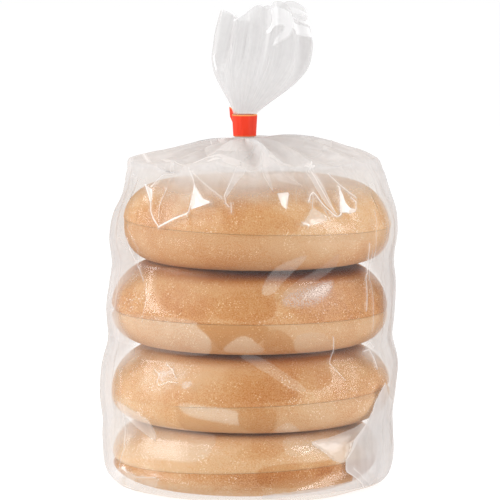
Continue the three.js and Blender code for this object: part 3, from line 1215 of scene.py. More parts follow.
class Glint(Enum):
    """The light that a flat pane of film turns towards the camera, by its facing in degrees."""

    KEY = (251.6, 18.6)
    FILL = (293.4, 13.9)

    def facing(self) -> Array:
        """Return the pane's outward direction."""
        turn, rise = (math.radians(value) for value in self.value)
        level = math.cos(rise)
        return np.array([level * math.cos(turn), level * math.sin(turn), math.sin(rise)])


@dataclass(frozen=True)
class Mark:
    """An area of the unrolled film that stands off the bread, with a soft border and a look of its own; the
    white look is a painted highlight.
    """

    MARGIN = 30.0 * MM
    TRACKS = (-1.0, 1.0)
    CLOSED = True

    places: Array
    border: float
    strength: float
    look: str = "white"
    lift: float = 1.0

    def near(self, places: Array) -> Array:
        """Return which places of the unrolled film lie round about the mark."""
        low, high = self.places.min(axis=0) - self.MARGIN, self.places.max(axis=0) + self.MARGIN
        return ((places > low) & (places < high)).all(axis=1)

    def cover(self, places: Array, stretch: Array) -> Array:
        """Return how far the mark covers places: 1 well inside it and 0 outside.

        Args:
            places: places on the unrolled film.
            stretch: the film's width at each, against its flat width.

        Returns:
            The share at each place.
        """
        gap, _ = nearest_on(places, self.places, True, stretch)
        depth = np.where(is_inside(places, self.places), gap, -gap)
        return ease(depth, -self.border, self.border)

    def show(self, looks: dict[str, Array], places: Array, stretch: Array) -> None:
        """Lift the film at the mark, and give it the mark's look, such as its painted highlight.

        Args:
            looks: the film's values at each place, changed in place.
            places: places on the unrolled film.
            stretch: the film's width at each, against its flat width.
        """
        near = self.near(places)
        share = self.cover(places[near], stretch[near])
        for name, wanted in (("gap", self.lift), (self.look, self.strength)):
            looks[name][near] = self.laid(looks[name][near], wanted, share)

    def laid(self, before: Array, wanted: float, share: Array) -> Array:
        """Return a look's values once the mark has raised them."""
        return np.maximum(before, wanted * share)


@dataclass(frozen=True)
class Pane(Mark):
    """A flat pane between sharp folds, turned so that one of the lights glints in it, with a painted
    highlight laid over it as well.
    """

    REACH = 5.0 * MM

    glint: Glint = Glint.KEY


@dataclass(frozen=True)
class Patch(Mark):
    """A firm-edged place where the film clings to the bread, 0, or lifts off it, 1, which may carry a painted
    highlight.
    """

    def laid(self, before: Array, wanted: float, share: Array) -> Array:
        """Return a look's values once the patch has put its own in their place."""
        return mix(before, wanted, share)


@dataclass(frozen=True)
class Fold(Mark):
    """A sharp fold through places of the unrolled film, standing out by its height, with a painted highlight
    along it.
    """

    TRACKS = (-1.0, 0.0, 1.0)
    CLOSED = False

    height: float = 0.0

    def gap(self, places: Array, stretch: Array) -> Array:
        """Return the distance from the fold, in half widths of it."""
        return nearest_on(places, self.places, False, stretch)[0] / self.border

    def cover(self, places: Array, stretch: Array) -> Array:
        """Return how far the fold's line covers places, as an area does."""
        return np.clip(1.25 - self.gap(places, stretch), 0.0, 1.0)

    def rise(self, places: Array, stretch: Array) -> Array:
        """Return how far the fold stands out at each place."""
        return self.height * np.clip(1.0 - self.gap(places, stretch) / 1.6, 0.0, 1.0)


def nearest_on(points: Array, corners: Array, closed: bool, stretch: Array) -> tuple[Array, Array]:
    """Find the nearest place on a line through the given corners.

    Args:
        points: places on the unrolled film.
        corners: the line's corners.
        closed: True if the last corner joins the first.
        stretch: the film's width at each point, against its flat width.

    Returns:
        The distance from each point, and the nearest place.
    """
    nearest = np.full(len(points), 1.0)
    foot = points.copy()
    ends = np.roll(corners, -1, axis=0) if closed else corners[1:]
    for start, end in zip(corners, ends):
        span = end - start
        run = span[0] * stretch
        offset = points - start
        along = (offset[:, 0] * stretch * run + offset[:, 1] * span[1]) / (run ** 2 + span[1] ** 2)
        spot = start + np.clip(along, 0.0, 1.0)[:, None] * span
        gap = np.hypot((points[:, 0] - spot[:, 0]) * stretch, points[:, 1] - spot[:, 1])
        closer = gap < nearest
        nearest = np.where(closer, gap, nearest)
        foot[closer] = spot[closer]
    return nearest, foot


def is_inside(points: Array, corners: Array) -> Array:
    """Return which points lie inside the closed line through the given corners.

    Args:
        points: places on the unrolled film.
        corners: the line's corners.

    Returns:
        True for each point inside.
    """
    odd = np.zeros(len(points), dtype=bool)
    across, up = points[:, 0], points[:, 1]
    for start, end in zip(corners, np.roll(corners, -1, axis=0)):
        if start[1] != end[1]:
            level = (start[1] > up) != (end[1] > up)
            cut = start[0] + (up - start[1]) / (end[1] - start[1]) * (end[0] - start[0])
            odd ^= level & (across < cut)
    return odd


def rounded(corners: Array, steps: int = 5) -> Array:
    """Return a closed line through the corners with its turns rounded off.

    Args:
        corners: the line's corners.
        steps: points from one corner to the next.

    Returns:
        The rounded line's points.
    """
    before, after, far = (np.roll(corners, shift, axis=0) for shift in (1, -1, -2))
    share = (np.arange(steps) / steps)[None, :, None]
    a, b, c, d = (array[:, None, :] for array in (before, corners, after, far))
    curve = 0.5 * (2 * b + (c - a) * share + (2 * a - 5 * b + 4 * c - d) * share ** 2
                   + (3 * b - a - 3 * c + d) * share ** 3)
    return curve.reshape(-1, 2)


def between_points(grid: Array, row: Array, column: Array) -> Array:
    """Return a grid's values between its points, straight from each to the next.

    Args:
        grid: values at the grid's points, whose columns close to a ring.
        row: rows, as numbers with a share.
        column: columns, as numbers with a share.

    Returns:
        The values.
    """
    rows, columns = grid.shape[:2]
    row, column = np.broadcast_arrays(np.clip(row, 0, rows - 1.001), column)
    low, left = row.astype(int), column.astype(int) % columns
    right = (left + 1) % columns
    extra = (1,) * (grid.ndim - 2)
    rise, run = ((value - np.floor(value)).reshape(*value.shape, *extra) for value in (row, column))
    below = mix(grid[low, left], grid[low, right], run)
    above = mix(grid[low + 1, left], grid[low + 1, right], run)
    return mix(below, above, rise)


@dataclass
class FrontView:
    """The film as the camera sees it, to put marks where the photograph's frame has them."""

    studio: "Studio"
    plain: Array
    facing: Array
    sheet: Array

    def __post_init__(self) -> None:
        """Project the film once."""
        eye, self.seen = self.studio.project(self.plain)
        self.hidden = ((eye - self.plain) * self.facing).sum(-1) <= 0.0

    def place(self, across: float, down: float) -> Array:
        """Return the film's place that is seen at a pixel of the frame.

        Args:
            across: pixels from the frame's left edge.
            down: pixels from its top edge.

        Returns:
            The place on the unrolled film.
        """
        offset = self.seen - np.array([across, down])
        apart = np.hypot(offset[..., 0], offset[..., 1]) + 1e6 * self.hidden
        row, column = np.unravel_index(np.argmin(apart), apart.shape)
        rows, columns = apart.shape
        row = min(max(row, 1), rows - 2)
        after, before = (column + 1) % columns, (column - 1) % columns
        by_row = (self.seen[row + 1, column] - self.seen[row - 1, column]) / 2.0
        by_column = (self.seen[row, after] - self.seen[row, before]) / 2.0
        wanted = np.array([across, down]) - self.seen[row, column]
        step = np.linalg.solve(np.stack([by_row, by_column], axis=1), wanted)
        step = np.clip(step, -1.0, 1.0)
        sheet = self.sheet
        up_step = (sheet[row + 1, column] - sheet[row - 1, column]) / 2.0
        pitch = abs(sheet[row, 1, 0] - sheet[row, 0, 0])
        return sheet[row, column] + up_step * step[0] + np.array([pitch, 0.0]) * step[1]

    def places(self, seen: Pixels) -> Array:
        """Return the film's places that are seen at pixels, given as across, down, across, down."""
        return np.array([self.place(*pixel) for pixel in zip(seen[::2], seen[1::2])])


@dataclass
class FilmSheet:
    """The clear film: one sheet from the base, up round the stack, through the neck to the mouth."""

    form: BagForm
    stack: BagelStack
    around: int = 320
    base_rows: int = 8
    side_rows: int = 124
    tent_rows: int = 48
    neck_rows: int = 8
    tail_rows: int = 56
    levels: tuple[tuple[int, int], ...] = ((4, 200), (2, 120), (1, 60))
    iron_passes: int = 26
    seed: int = 7
    pane_border: float = 0.22 * MM
    lift_most: float = 1.1 * MM
    track_step: float = 1.25 * MM
    round_trip: float = 380.0 * MM
    points: Array = field(default_factory=lambda: np.zeros((0, 0, 3)))
    facing: Array = field(default_factory=lambda: np.zeros((0, 0, 3)))
    row_up: Array = field(default_factory=lambda: np.zeros(0))
    row_width: Array = field(default_factory=lambda: np.zeros(0))
    # Folds as (pixels of the frame, height in mm, half width in mm, painted highlight).
    seen_folds: tuple[tuple[Pixels, float, float, float], ...] = (
        ((146, 187, 147.5, 205, 151, 220, 155.5, 228.5), 0.4, 0.4, 0.85),
        ((155.5, 228.5, 172, 220, 187, 214), 0.4, 0.5, 0.95),
        ((194.5, 189, 191, 202, 187, 214), 0.4, 0.5, 0.8),
        ((194.5, 189, 202, 201, 209, 204), 0.4, 0.5, 0.7),
        ((175, 164, 169, 174, 160, 176, 149, 189), 0.3, 0.5, 0.4),
        ((187, 171, 191, 180, 194.5, 189), 0.3, 0.45, 0.5),
        ((190, 174, 205, 187, 221, 199), 0.35, 0.5, 0.4),
        ((156, 227, 157, 208, 164, 190), -0.3, 0.5, 0.3),
        ((247.5, 138.3, 238.3, 165, 231, 180, 223.7, 196.5), 0.25, 0.3, 0.4),
        ((256.7, 150, 248, 164, 242.5, 175, 235, 184.2, 226, 198), 0.25, 0.3, 0.35),
        ((224, 197, 225, 204, 228.5, 208), 0.25, 0.35, 0.5),
        ((230.5, 206, 231, 214), 0.25, 0.4, 0.5),
        ((258.3, 151.7, 260, 168.3, 265, 178, 270.8, 188, 274, 192), 0.25, 0.3, 0.4),
        ((262, 143, 270, 160, 287, 176, 303, 186), 0.25, 0.3, 0.3),
        ((250, 138, 232, 150, 212, 160, 196, 163), 0.3, 0.35, 0.25),
        ((240, 146, 224, 158, 213, 168, 225, 184), 0.25, 0.3, 0.25),
        ((265, 141, 296, 152, 330, 163, 352, 178), 0.3, 0.4, 0.22),
        ((262, 139, 300, 146, 340, 156), 0.3, 0.4, 0.18),
        ((244, 139, 215, 148, 180, 158, 150, 162), 0.3, 0.4, 0.18),
        ((307.5, 168, 312, 169, 316, 168), 0.4, 0.6, 0.8),
        ((312, 164, 312, 172), 0.3, 0.5, 0.7),
        ((310.5, 202, 312.5, 196.5, 315, 193, 317.5, 194.5, 322, 201, 329, 210, 335.5, 216.5, 339, 217.8,
          342.7, 217, 344.5, 213.6), 0.4, 0.38, 0.95),
        ((312, 169, 321, 184, 330, 201, 338, 215), 0.4, 0.4, 0.7),
        ((314, 171, 325, 186, 333, 203, 338, 215), 0.3, 0.35, 0.5),
        ((310, 173, 318, 188, 328, 204, 337, 215), 0.3, 0.35, 0.45),
        ((341.4, 189.5, 343.5, 199, 344.5, 213.6), 0.45, 0.55, 0.8),
        ((353.6, 213.6, 356.8, 212.7, 358.6, 208, 359.5, 202, 355.5, 199), 0.4, 0.5, 0.65),
        ((331.8, 174.5, 341.8, 186.4, 349, 191, 359.5, 197.7), 0.4, 0.6, 0.55),
        ((315.5, 197.3, 315, 203, 314, 209), 0.3, 0.4, 0.45),
        ((323.6, 206.4, 327, 213, 330, 221), 0.3, 0.4, 0.4),
        ((304, 225.3, 306.5, 225.6, 309, 227), 0.3, 0.8, 0.8),
        ((377, 212, 378, 235, 377, 258), 0.35, 0.5, 0.35),
        ((371, 245, 372, 275, 370, 310), 0.4, 0.5, 0.6),
        ((375, 250, 377, 285, 376, 330), 0.35, 0.5, 0.35),
        ((336, 338, 335.8, 350, 334.5, 366), 0.3, 0.32, 0.6),
        ((368, 352, 374, 350, 379, 357, 382, 367), 0.3, 0.4, 0.6),
        ((370, 345, 373, 341, 377, 346), 0.25, 0.4, 0.5),
        ((335, 366, 342, 373, 350, 381), 0.25, 0.4, 0.35),
        ((121, 240, 128, 260, 136, 281), 0.4, 0.5, 0.45),
        ((124, 228, 129, 248, 131, 266), 0.3, 0.45, 0.3),
        ((139, 285, 141, 300, 138, 322), 0.3, 0.45, 0.3),
        ((389, 383, 378, 403, 370, 423, 362, 445, 355, 461.7, 353.3, 471.7, 363, 486), 0.3, 0.32, 0.5),
        ((362, 469, 366, 477, 370, 484), 0.3, 0.35, 0.4),
        ((341, 462.2, 329, 453.5, 315.6, 444.4), 0.4, 0.4, 0.3),
        ((119.2, 417, 119, 434, 118.7, 450, 116, 466), 0.5, 0.5, 0.4),
        ((131, 412, 144.2, 421.7, 146, 432, 147.6, 443), 0.5, 0.5, 0.4),
        ((119, 468, 125, 471, 134, 476, 152, 477), 0.5, 0.6, 0.45),
        ((126, 485, 128, 485.6, 130, 486), 0.3, 0.9, 0.9),
        ((119, 467, 122, 469, 124, 471), 0.3, 0.8, 0.8),
        ((146, 372, 152, 376, 150, 383), 0.25, 0.35, 0.55),
        ((160, 367, 166, 372, 170, 379), 0.25, 0.35, 0.5),
        ((155, 386, 163, 383, 172, 384), 0.25, 0.35, 0.35),
        ((246, 10, 247, 18, 248, 29), 0.3, 0.5, 0.7),
        ((215, 56, 215.6, 62, 217, 69), 0.3, 0.5, 0.8),
    )
    # Panes as (pixels of the frame, light, painted highlight).
    seen_panes: tuple[tuple[Pixels, Glint, float], ...] = (
        ((193.5, 188.5, 189.5, 211, 200, 207.5, 210, 204, 201, 200), Glint.KEY, 0.9),
        ((145.5, 187, 149.5, 191, 148, 203), Glint.KEY, 0.7),
        ((172, 166, 176, 163, 173, 172, 169, 172), Glint.KEY, 0.4),
        ((278.3, 195, 290.8, 193.3, 288.3, 210.8, 283.3, 206.7), Glint.FILL, 0.55),
        ((341.4, 189.5, 345.5, 195.5, 348.2, 202.7, 355, 212, 351, 213.5, 344.5, 213.6), Glint.FILL, 0.8),
    )
    # Veils as (pixels of the frame, strength, half width of the border in mm).
    seen_veils: tuple[tuple[Pixels, float, float], ...] = (
        ((180, 162, 188.3, 170, 200, 175, 215, 170, 225, 184.2, 230, 180, 238.3, 165, 220, 148.3, 196.7,
          158.3), 0.75, 0.5),
        ((247.5, 138.3, 238.3, 165, 223.7, 195.8, 225.8, 198.3, 235, 184.2, 242.5, 175, 256.7, 150, 255,
          138.3), 1.3, 0.3),
        ((256.7, 150, 242.5, 175, 246.7, 181.7, 260, 180, 263.3, 178.3, 258.3, 156.7), 0.85, 0.4),
        ((258.3, 151.7, 260, 168.3, 270.8, 187.5, 274.2, 191.7, 273.3, 183.3, 266.7, 168.3), 1.15, 0.3),
        ((266.7, 153.3, 303.3, 186.7, 295, 185, 280, 181.7, 270, 170), 0.9, 0.4),
        ((190, 174, 221, 199, 223.5, 196, 212, 180, 200, 173), 0.55, 0.3),
        ((389, 383, 378, 403, 370, 423, 355, 461.7, 353.3, 471.7, 363, 486, 386, 478, 391, 470, 394.5, 440,
          395, 400), 1.75, 0.5),
        ((358, 475, 355, 480, 330, 486, 300, 490, 262, 495, 262, 498, 310, 494, 345, 489.5, 363, 486), 1.2,
          0.5),
    )
    # Patches as (pixels of the frame, lift, painted highlight, half width of the border in mm).
    seen_patches: tuple[tuple[Pixels, float, float, float], ...] = (
        ((150, 270, 200, 274, 250, 282, 262, 292, 255, 322, 210, 320, 168, 314, 150, 296), 0.1, 0.0, 2.4),
        ((210, 300, 262, 290, 276, 300, 268, 320, 215, 318), 0.0, 0.0, 0.5),
        ((300, 275, 370, 272, 384, 300, 376, 318, 300, 322), 0.45, 0.0, 1.0),
        ((262, 292, 277, 268, 308, 256, 292, 276, 272, 296), 0.95, 0.16, 0.4),
        ((285, 295, 322, 268, 341, 254, 335, 270, 300, 297), 0.9, 0.12, 0.4),
        ((284, 305, 292, 295, 314, 288, 338, 283, 333, 297, 312, 307), 0.1, 0.3, 1.2),
        ((305, 299, 318, 290, 336, 286, 329, 296), 0.25, 0.55, 1.0),
        ((106, 308, 150, 317, 192, 322, 208, 337, 206, 354, 170, 354, 130, 346, 106, 332), 1.0, 0.12, 0.4),
        ((208, 338, 194, 324, 230, 325, 268, 327, 255, 345, 240, 338, 222, 350), 0.0, 0.0, 0.4),
        ((224, 351, 232, 341, 244, 336, 256, 342, 262, 352), 0.9, 0.1, 0.4),
        ((268, 352, 264, 338, 272, 330, 286, 333, 298, 350), 0.2, 0.0, 0.4),
        ((300, 352, 296, 338, 310, 333, 328, 335, 334, 350), 0.85, 0.08, 0.4),
        ((222, 378, 228, 370, 262, 368, 290, 377, 300, 390, 292, 401, 240, 402, 222, 394), 0.0, 0.0, 0.4),
        ((268, 362, 300, 358, 335, 356, 338, 372, 330, 388, 304, 390, 285, 378), 0.0, 0.0, 0.4),
        ((335, 366, 360, 363, 382, 362, 380, 378, 355, 386, 340, 382), 0.65, 0.03, 0.4),
        ((240, 357, 256, 356, 280, 370, 308, 390, 296, 391, 266, 374), 0.95, 0.1, 0.4),
        ((122, 374, 146, 366, 172, 368, 180, 378, 158, 392, 128, 392), 0.55, 0.05, 1.2),
        ((149, 377, 155, 372, 160, 373, 168, 369, 166, 376, 158, 378, 157, 384), 0.4, 0.34, 0.6),
        ((176, 386, 181, 383, 188, 384, 184, 389, 179, 390), 0.4, 0.3, 0.5),
        ((175, 404, 200, 406, 235, 412, 240, 424, 205, 420, 182, 414), 0.9, 0.12, 0.5),
        ((240, 410, 262, 409, 277, 413, 272, 432, 248, 431, 238, 422), 0.0, 0.0, 0.4),
        ((276, 432, 280, 426, 290, 423, 300, 431), 0.95, 0.1, 0.3),
        ((207, 455, 216, 440, 236, 436, 252, 440, 240, 452, 222, 458), 0.5, 0.0, 0.4),
        ((236, 458, 246, 449, 268, 445, 287, 450, 280, 458, 256, 461), 0.15, 0.0, 0.4),
        ((262, 486, 258, 472, 280, 466, 312, 464, 342, 462, 334, 476, 300, 487), 0.0, 0.0, 0.4),
        ((108, 418, 160, 426, 205, 433, 215, 439, 206, 456, 190, 463, 150, 460, 108, 452), 0.75, 0.1, 0.5),
        ((286, 440, 312, 436, 332, 440, 318, 452, 292, 458), 0.9, 0.06, 0.4),
        ((315.8, 445, 335, 438.3, 355, 430, 370, 420.8, 368.3, 436.7, 355, 461.7, 345, 463.3, 330, 454.2),
          1.0, 0.34, 0.35),
        ((316.7, 445, 335, 441.7, 348.3, 438.3, 358.3, 438.3, 348.3, 450, 335, 453.3, 326.7, 451.7), 1.0,
          0.58, 1.2),
        ((220, 143.3, 246.7, 137.5, 248.3, 140.8, 241.7, 150, 221.7, 149.2), 1.0, 0.5, 0.5),
        ((205, 165, 206.7, 159.2, 223.3, 154.2, 240, 159.2, 235, 165.8, 228.3, 164.2, 218.3, 160, 210, 160.8),
          1.0, 0.5, 0.6),
        ((217.5, 135.8, 219.2, 136.7, 218.3, 142.5, 217, 141.7), 1.0, 0.6, 0.3),
        ((228.3, 135.8, 230, 136.7, 228.7, 140.8), 1.0, 0.5, 0.3),
        ((261.7, 135, 273.3, 133.3, 295, 135.8, 286.7, 137.5, 270, 136.7), 1.0, 0.35, 0.5),
        ((268.3, 155.8, 286.7, 163.3, 291.7, 168.3, 283.3, 166.7, 273.3, 160), 1.0, 0.4, 0.5),
        ((112, 402, 131, 413, 144.2, 421.7, 147.6, 443, 134, 431, 120, 416), 1.0, 0.34, 0.5),
        ((116, 466, 125, 471, 134, 477, 134, 481, 144, 487, 136, 490, 124, 487.5, 111.5, 477), 1.0, 0.34,
          0.5),
        ((134, 476.7, 152, 477.2, 156, 481, 154, 487, 144, 486.5, 138, 482), 1.0, 0.2, 0.5),
        ((309.5, 172.7, 311, 166, 314.5, 168, 326.4, 186.4, 333.6, 204.5, 338.6, 216.4, 329, 205, 319, 189),
          1.0, 0.34, 0.5),
        ((314, 209, 309, 217, 303.6, 225, 308, 227.3, 321, 225.5, 329, 220, 322, 214), 1.0, 0.34, 0.5),
        ((350, 209, 356, 209.5, 357, 213, 351, 214.5), 1.0, 0.75, 0.4),
        ((270, 7.5, 280, 8.1, 276.3, 18.8, 269.5, 31, 271.3, 18.8), 1.0, 0.5, 0.4),
        ((292.5, 15, 290, 32.5, 281.3, 40, 273.8, 46, 275, 40, 282.5, 28.8, 283, 15), 1.0, 0.45, 0.6),
        ((295, 6.3, 297.5, 13.8, 301.3, 23.8, 300.6, 26.3, 297.5, 21.3, 294.4, 10), 1.0, 0.5, 0.4),
        ((222, 206, 240, 200, 280, 212, 300, 230, 280, 236, 230, 236), 0.15, 0.0, 0.9),
    )

    @property
    def edge_row(self) -> int:
        """Return the row at the tent's outer edge."""
        return self.base_rows + self.side_rows

    @property
    def neck_row(self) -> int:
        """Return the first row of the neck."""
        return self.edge_row + self.tent_rows

    @property
    def tail_row(self) -> int:
        """Return the first row of the mouth."""
        return self.neck_row + self.neck_rows

    def lay_out(self) -> Array:
        """Lay the film out in the bag's own form, from the middle of the base up.

        Returns:
            The places of its points, ring by ring.
        """
        angle = (np.arange(self.around) / self.around * FULL_TURN)[None, :]
        form = self.form
        base_share, tent_share, tail_share = (
            ((np.arange(rows) + 1) / rows)[:, None]
            for rows in (self.base_rows, self.tent_rows, self.tail_rows))
        floor = np.zeros_like(base_share)
        base = ring_points(0.0, 0.0, base_share * form.side_radius(angle, floor), angle, floor)
        height = np.linspace(0.0, form.shoulder_edge, self.side_rows + 1)[1:, None]
        side = ring_points(0.0, 0.0, form.side_radius(angle, height), angle, height)
        tent = form.tent_points(angle, tent_share)
        height = np.linspace(form.neck_base, form.tape_top, self.neck_rows + 1)[1:, None]
        neck = ring_points(form.neck_x, 0.0, form.neck_radius(angle, height), angle, height)
        return np.concatenate([base, side, tent, neck, form.tail_points(angle, tail_share)], axis=0)

    def outward(self, plain: Array) -> Array:
        """Return the direction that points out of the film at each of its points.

        Args:
            plain: the film's points.

        Returns:
            Directions of length 1.
        """
        along = np.roll(plain, -1, axis=1) - np.roll(plain, 1, axis=1)
        facing = np.cross(along, np.gradient(plain, axis=0))
        length = np.sqrt((facing ** 2).sum(-1, keepdims=True))
        return facing / np.maximum(length, SMALLEST ** 2)

    def unrolled(self, plain: Array) -> tuple[Array, Array]:
        """Roll the film out flat.

        Args:
            plain: the film's points in the bag's own form.

        Returns:
            Each point's place round the flat film, and its distance up it from the base's edge.
        """
        steps = np.sqrt((np.diff(plain, axis=0) ** 2).sum(-1)).mean(axis=1)
        up = np.concatenate([[0.0], np.cumsum(steps)])
        up = (up - up[self.base_rows])[:, None] * np.ones(self.around)[None, :]
        place = np.arange(self.around)[None, :] / self.around * self.round_trip
        return place * np.ones_like(up), up

    def zones(self) -> dict[str, Array]:
        """Return where each point is: its row, its direction and how far up the tent or mouth.

        Returns:
            Values at each point, by name.
        """
        rows = np.arange(self.tail_row + self.tail_rows)[:, None] * np.ones(self.around)[None, :]
        angle = (np.arange(self.around) / self.around * FULL_TURN)[None, :] * np.ones_like(rows)
        return {
            "rows": rows, "angle": angle, "sides": side_share(angle) ** 3,
            "on_side": (rows >= self.base_rows) & (rows < self.edge_row),
            "on_tent": (rows >= self.edge_row) & (rows < self.neck_row),
            "on_tail": rows >= self.tail_row,
            "up_side": np.clip((rows - self.base_rows) / self.side_rows, 0.0, 1.0),
            "up_tent": np.clip((rows - self.edge_row) / self.tent_rows, 0.0, 1.0),
            "up_tail": np.clip((rows - self.tail_row) / self.tail_rows, 0.0, 1.0),
        }

    def slack(self) -> tuple[Array, Array, Array, Array]:
        """Give each part of the film its slack.

        Returns:
            How slack the film is round the bag and up it, how far it may move, and its press inwards.
        """
        zone = self.zones()
        sides, up_tent = zone["sides"], zone["up_tent"]

        def by_part(side: Array, tent: Array, tail: Array) -> Array:
            """Return each part's own value at its points, and 0 on the base and the neck."""
            parts = [zone["on_side"], zone["on_tent"], zone["on_tail"]]
            return np.select(parts, np.broadcast_arrays(side, tent, tail), 0.0)

        excess_round = by_part(mix(0.003, 0.022, sides), mix(0.03, 0.10, up_tent), 0.012)
        excess_up = by_part(mix(0.001, 0.002, sides), 0.006, 0.015)
        cap = by_part(mix(2.4, 3.2, sides) * ease(zone["up_side"], 0.0, 0.08),
                      1.6 * (1.0 - up_tent ** 3) ** 0.7, 0.8 * ease(zone["up_tail"], 0.0, 0.7))
        press = by_part(mix(0.012, 0.004, sides), 0.0, -0.002)
        return excess_round, excess_up, cap * MM, press * MM

    def facets(self, plain: Array) -> Array:
        """Return the shift of each point by the film's flat facets, broad ones and small ones.

        Args:
            plain: the film's points in the bag's own form.

        Returns:
            The shift of each point.
        """
        place, up = self.unrolled(plain)
        zone = self.zones()
        length = float(up.max())
        broad = FacetField(length, 19 * MM, 3, self.round_trip).heights(place, up)
        small = FacetField(length, 9 * MM, 5, self.round_trip).heights(place, up)
        depth = np.where(zone["on_side"], mix(0.25, 1.0, zone["sides"]), 0.0)
        shoulder = ease(zone["up_side"], 0.76, 0.90)
        depth = np.where(zone["on_side"], mix(depth, 1.35, shoulder), depth)
        depth = np.where(zone["on_side"], depth * ease(zone["up_side"], 0.0, 0.05), depth)
        depth = np.where(zone["on_tent"], 0.8 * (1.0 - zone["up_tent"] ** 2) ** 0.8, depth)
        depth = np.where(zone["on_tail"], 0.75 * ease(zone["up_tail"], 0.05, 0.6), depth)
        return self.outward(plain) * ((broad + 0.34 * small) * depth * MM)[..., None]

    def relax(self, plain: Array, creased: Array) -> Array:
        """Let the film settle and fold, from broad folds to fine ones.

        Args:
            plain: the film's points in the bag's own form.
            creased: the same points with the facets' relief, whose lengths the film keeps.

        Returns:
            The places of the film's points.
        """
        excess_round, excess_up, cap, press = self.slack()
        shift = 0.35 * MM * np.stack([
            smooth_noise(self.seed + axis, plain, 9 * MM) for axis in range(3)], axis=-1)
        bread = BreadTable(self.stack, self.around)
        for stride, steps in self.levels:
            pick = np.s_[::stride, ::stride]
            sheet = SlackSheet(creased[pick], excess_round[pick], excess_up[pick], cap[pick],
                               press[pick], bread)
            settled = sheet.settle(creased[pick] + shift[pick] * (cap[pick] > 0.0)[..., None], steps)
            shift = self.spread(settled - creased[pick], stride, plain.shape)
        return creased + shift

    @staticmethod
    def spread(coarse: Array, stride: int, shape: tuple[int, ...]) -> Array:
        """Return a coarse grid's shifts at every point of the full grid.

        Args:
            coarse: shifts at every stride-th point of both ways.
            stride: points from one to the next.
            shape: the full grid's shape.

        Returns:
            The shifts, straight between the coarse points.
        """
        if stride == 1:
            return coarse
        return between_points(coarse, np.arange(shape[0])[:, None] / stride,
                              np.arange(shape[1])[None, :] / stride)

    def ironed(self, plain: Array, settled: Array) -> Array:
        """Draw out the film's folds along its length, upright on the sides and towards the knot.

        Args:
            plain: the film's points in the bag's own form.
            settled: its points once it has folded.

        Returns:
            The film's points.
        """
        zone = self.zones()
        shift = settled - plain
        drawn = shift.copy()
        weight = np.where(zone["on_side"], 0.9 * np.clip(zone["sides"] ** 0.3 * 1.1, 0.0, 1.0), 0.0)
        weight = weight * (1.0 - 0.6 * ease(zone["up_side"], 0.72, 0.9))
        weight = np.where(zone["on_tent"], 0.62, weight)
        weight = np.where(zone["on_tail"], 0.75, weight)
        for _ in range(self.iron_passes):
            padded = np.concatenate([drawn[:1], drawn, drawn[-1:]], axis=0)
            drawn = (padded[:-2] + 2.0 * padded[1:-1] + padded[2:]) / 4.0
        shift = mix(shift, drawn, weight[..., None])
        facing = self.outward(plain)
        offset = self.broad((shift * facing).sum(-1)) * np.where(zone["on_side"], 0.55, 1.0)
        offset = offset + 0.9 * MM * np.where(zone["on_tent"], np.sin(np.pi * zone["up_tent"]), 0.0)
        return plain + shift - facing * offset[..., None]

    def broad(self, values: Array) -> Array:
        """Return a value's running mean over about 20 mm up the film and 50 degrees round it.

        Args:
            values: a value at each of the film's points.

        Returns:
            The running mean.
        """
        for axis, reach in ((0, 9), (1, self.around // 14)):
            for _ in range(2):
                mode = "edge" if axis == 0 else "wrap"
                pad = [(reach, reach), (0, 0)] if axis == 0 else [(0, 0), (reach, reach)]
                total = np.cumsum(np.pad(values, pad, mode=mode), axis=axis)
                total = np.insert(total, 0, 0.0, axis=axis)
                span = 2 * reach + 1
                values = (np.take(total, range(span, total.shape[axis]), axis=axis)
                          - np.take(total, range(total.shape[axis] - span), axis=axis)) / span
        return values

    def clinging(self, plain: Array) -> Array:
        """Return how far the film stands off the bread in front, before its patches: 0 to 1."""
        return np.clip(0.60 + 0.24 * smooth_noise(self.seed + 21, plain, 17 * MM), 0.0, 1.0)

    def wrap(self, settled: Array, lift: Array) -> Array:
        """Draw the film's front and back onto the bread, apart from where it lifts.

        Args:
            settled: the film's points once it has folded.
            lift: share of the full lift at each point.

        Returns:
            The film's points.
        """
        height = settled[..., 2]
        angle = np.arctan2(settled[..., 1], settled[..., 0])
        reach = np.hypot(settled[..., 0], settled[..., 1])
        drawn = BreadTable(self.stack, self.around).bridged(angle, height) + self.lift_most * lift
        share = 0.9 * np.clip(self.wrapped(self.zones(), height) * 1.6, 0.0, 1.0)
        wished = mix(reach, np.minimum(reach, drawn), share)
        result = settled.copy()
        result[..., :2] *= (wished / np.maximum(reach, SMALLEST))[..., None]
        return result

    def wrapped(self, zone: dict[str, Array], height: Array) -> Array:
        """Return how much the film is drawn onto the bread: 1 in front and behind, 0 at the sides."""
        share = (1.0 - zone["sides"] ** 0.5) * ease(height, 4 * MM, 14 * MM)
        return share * (1.0 - ease(height, 104 * MM, 122 * MM)) * zone["on_side"]

    def sheet_places(self, plain: Array) -> Array:
        """Return each point's place on the flat film, measured from the middle of the back."""
        place, up = self.unrolled(plain)
        return np.stack([(place - self.round_trip / 4.0) % self.round_trip, up], axis=-1)

    def sample(self, grid: Array, places: Array) -> Array:
        """Return a grid's values at places of the unrolled film.

        Args:
            grid: values at the film's grid points.
            places: places on the unrolled film.

        Returns:
            The values, straight between the grid points.
        """
        rows, columns = grid.shape[:2]
        row = np.interp(places[:, 1], self.row_up, np.arange(rows))
        return between_points(grid, row, (places[:, 0] / self.round_trip + 0.25) * columns % columns)

    def stretch_at(self, places: Array) -> Array:
        """Return the film's gathered width at places, as a share of its flat width."""
        return np.interp(places[:, 1], self.row_up, self.row_width)

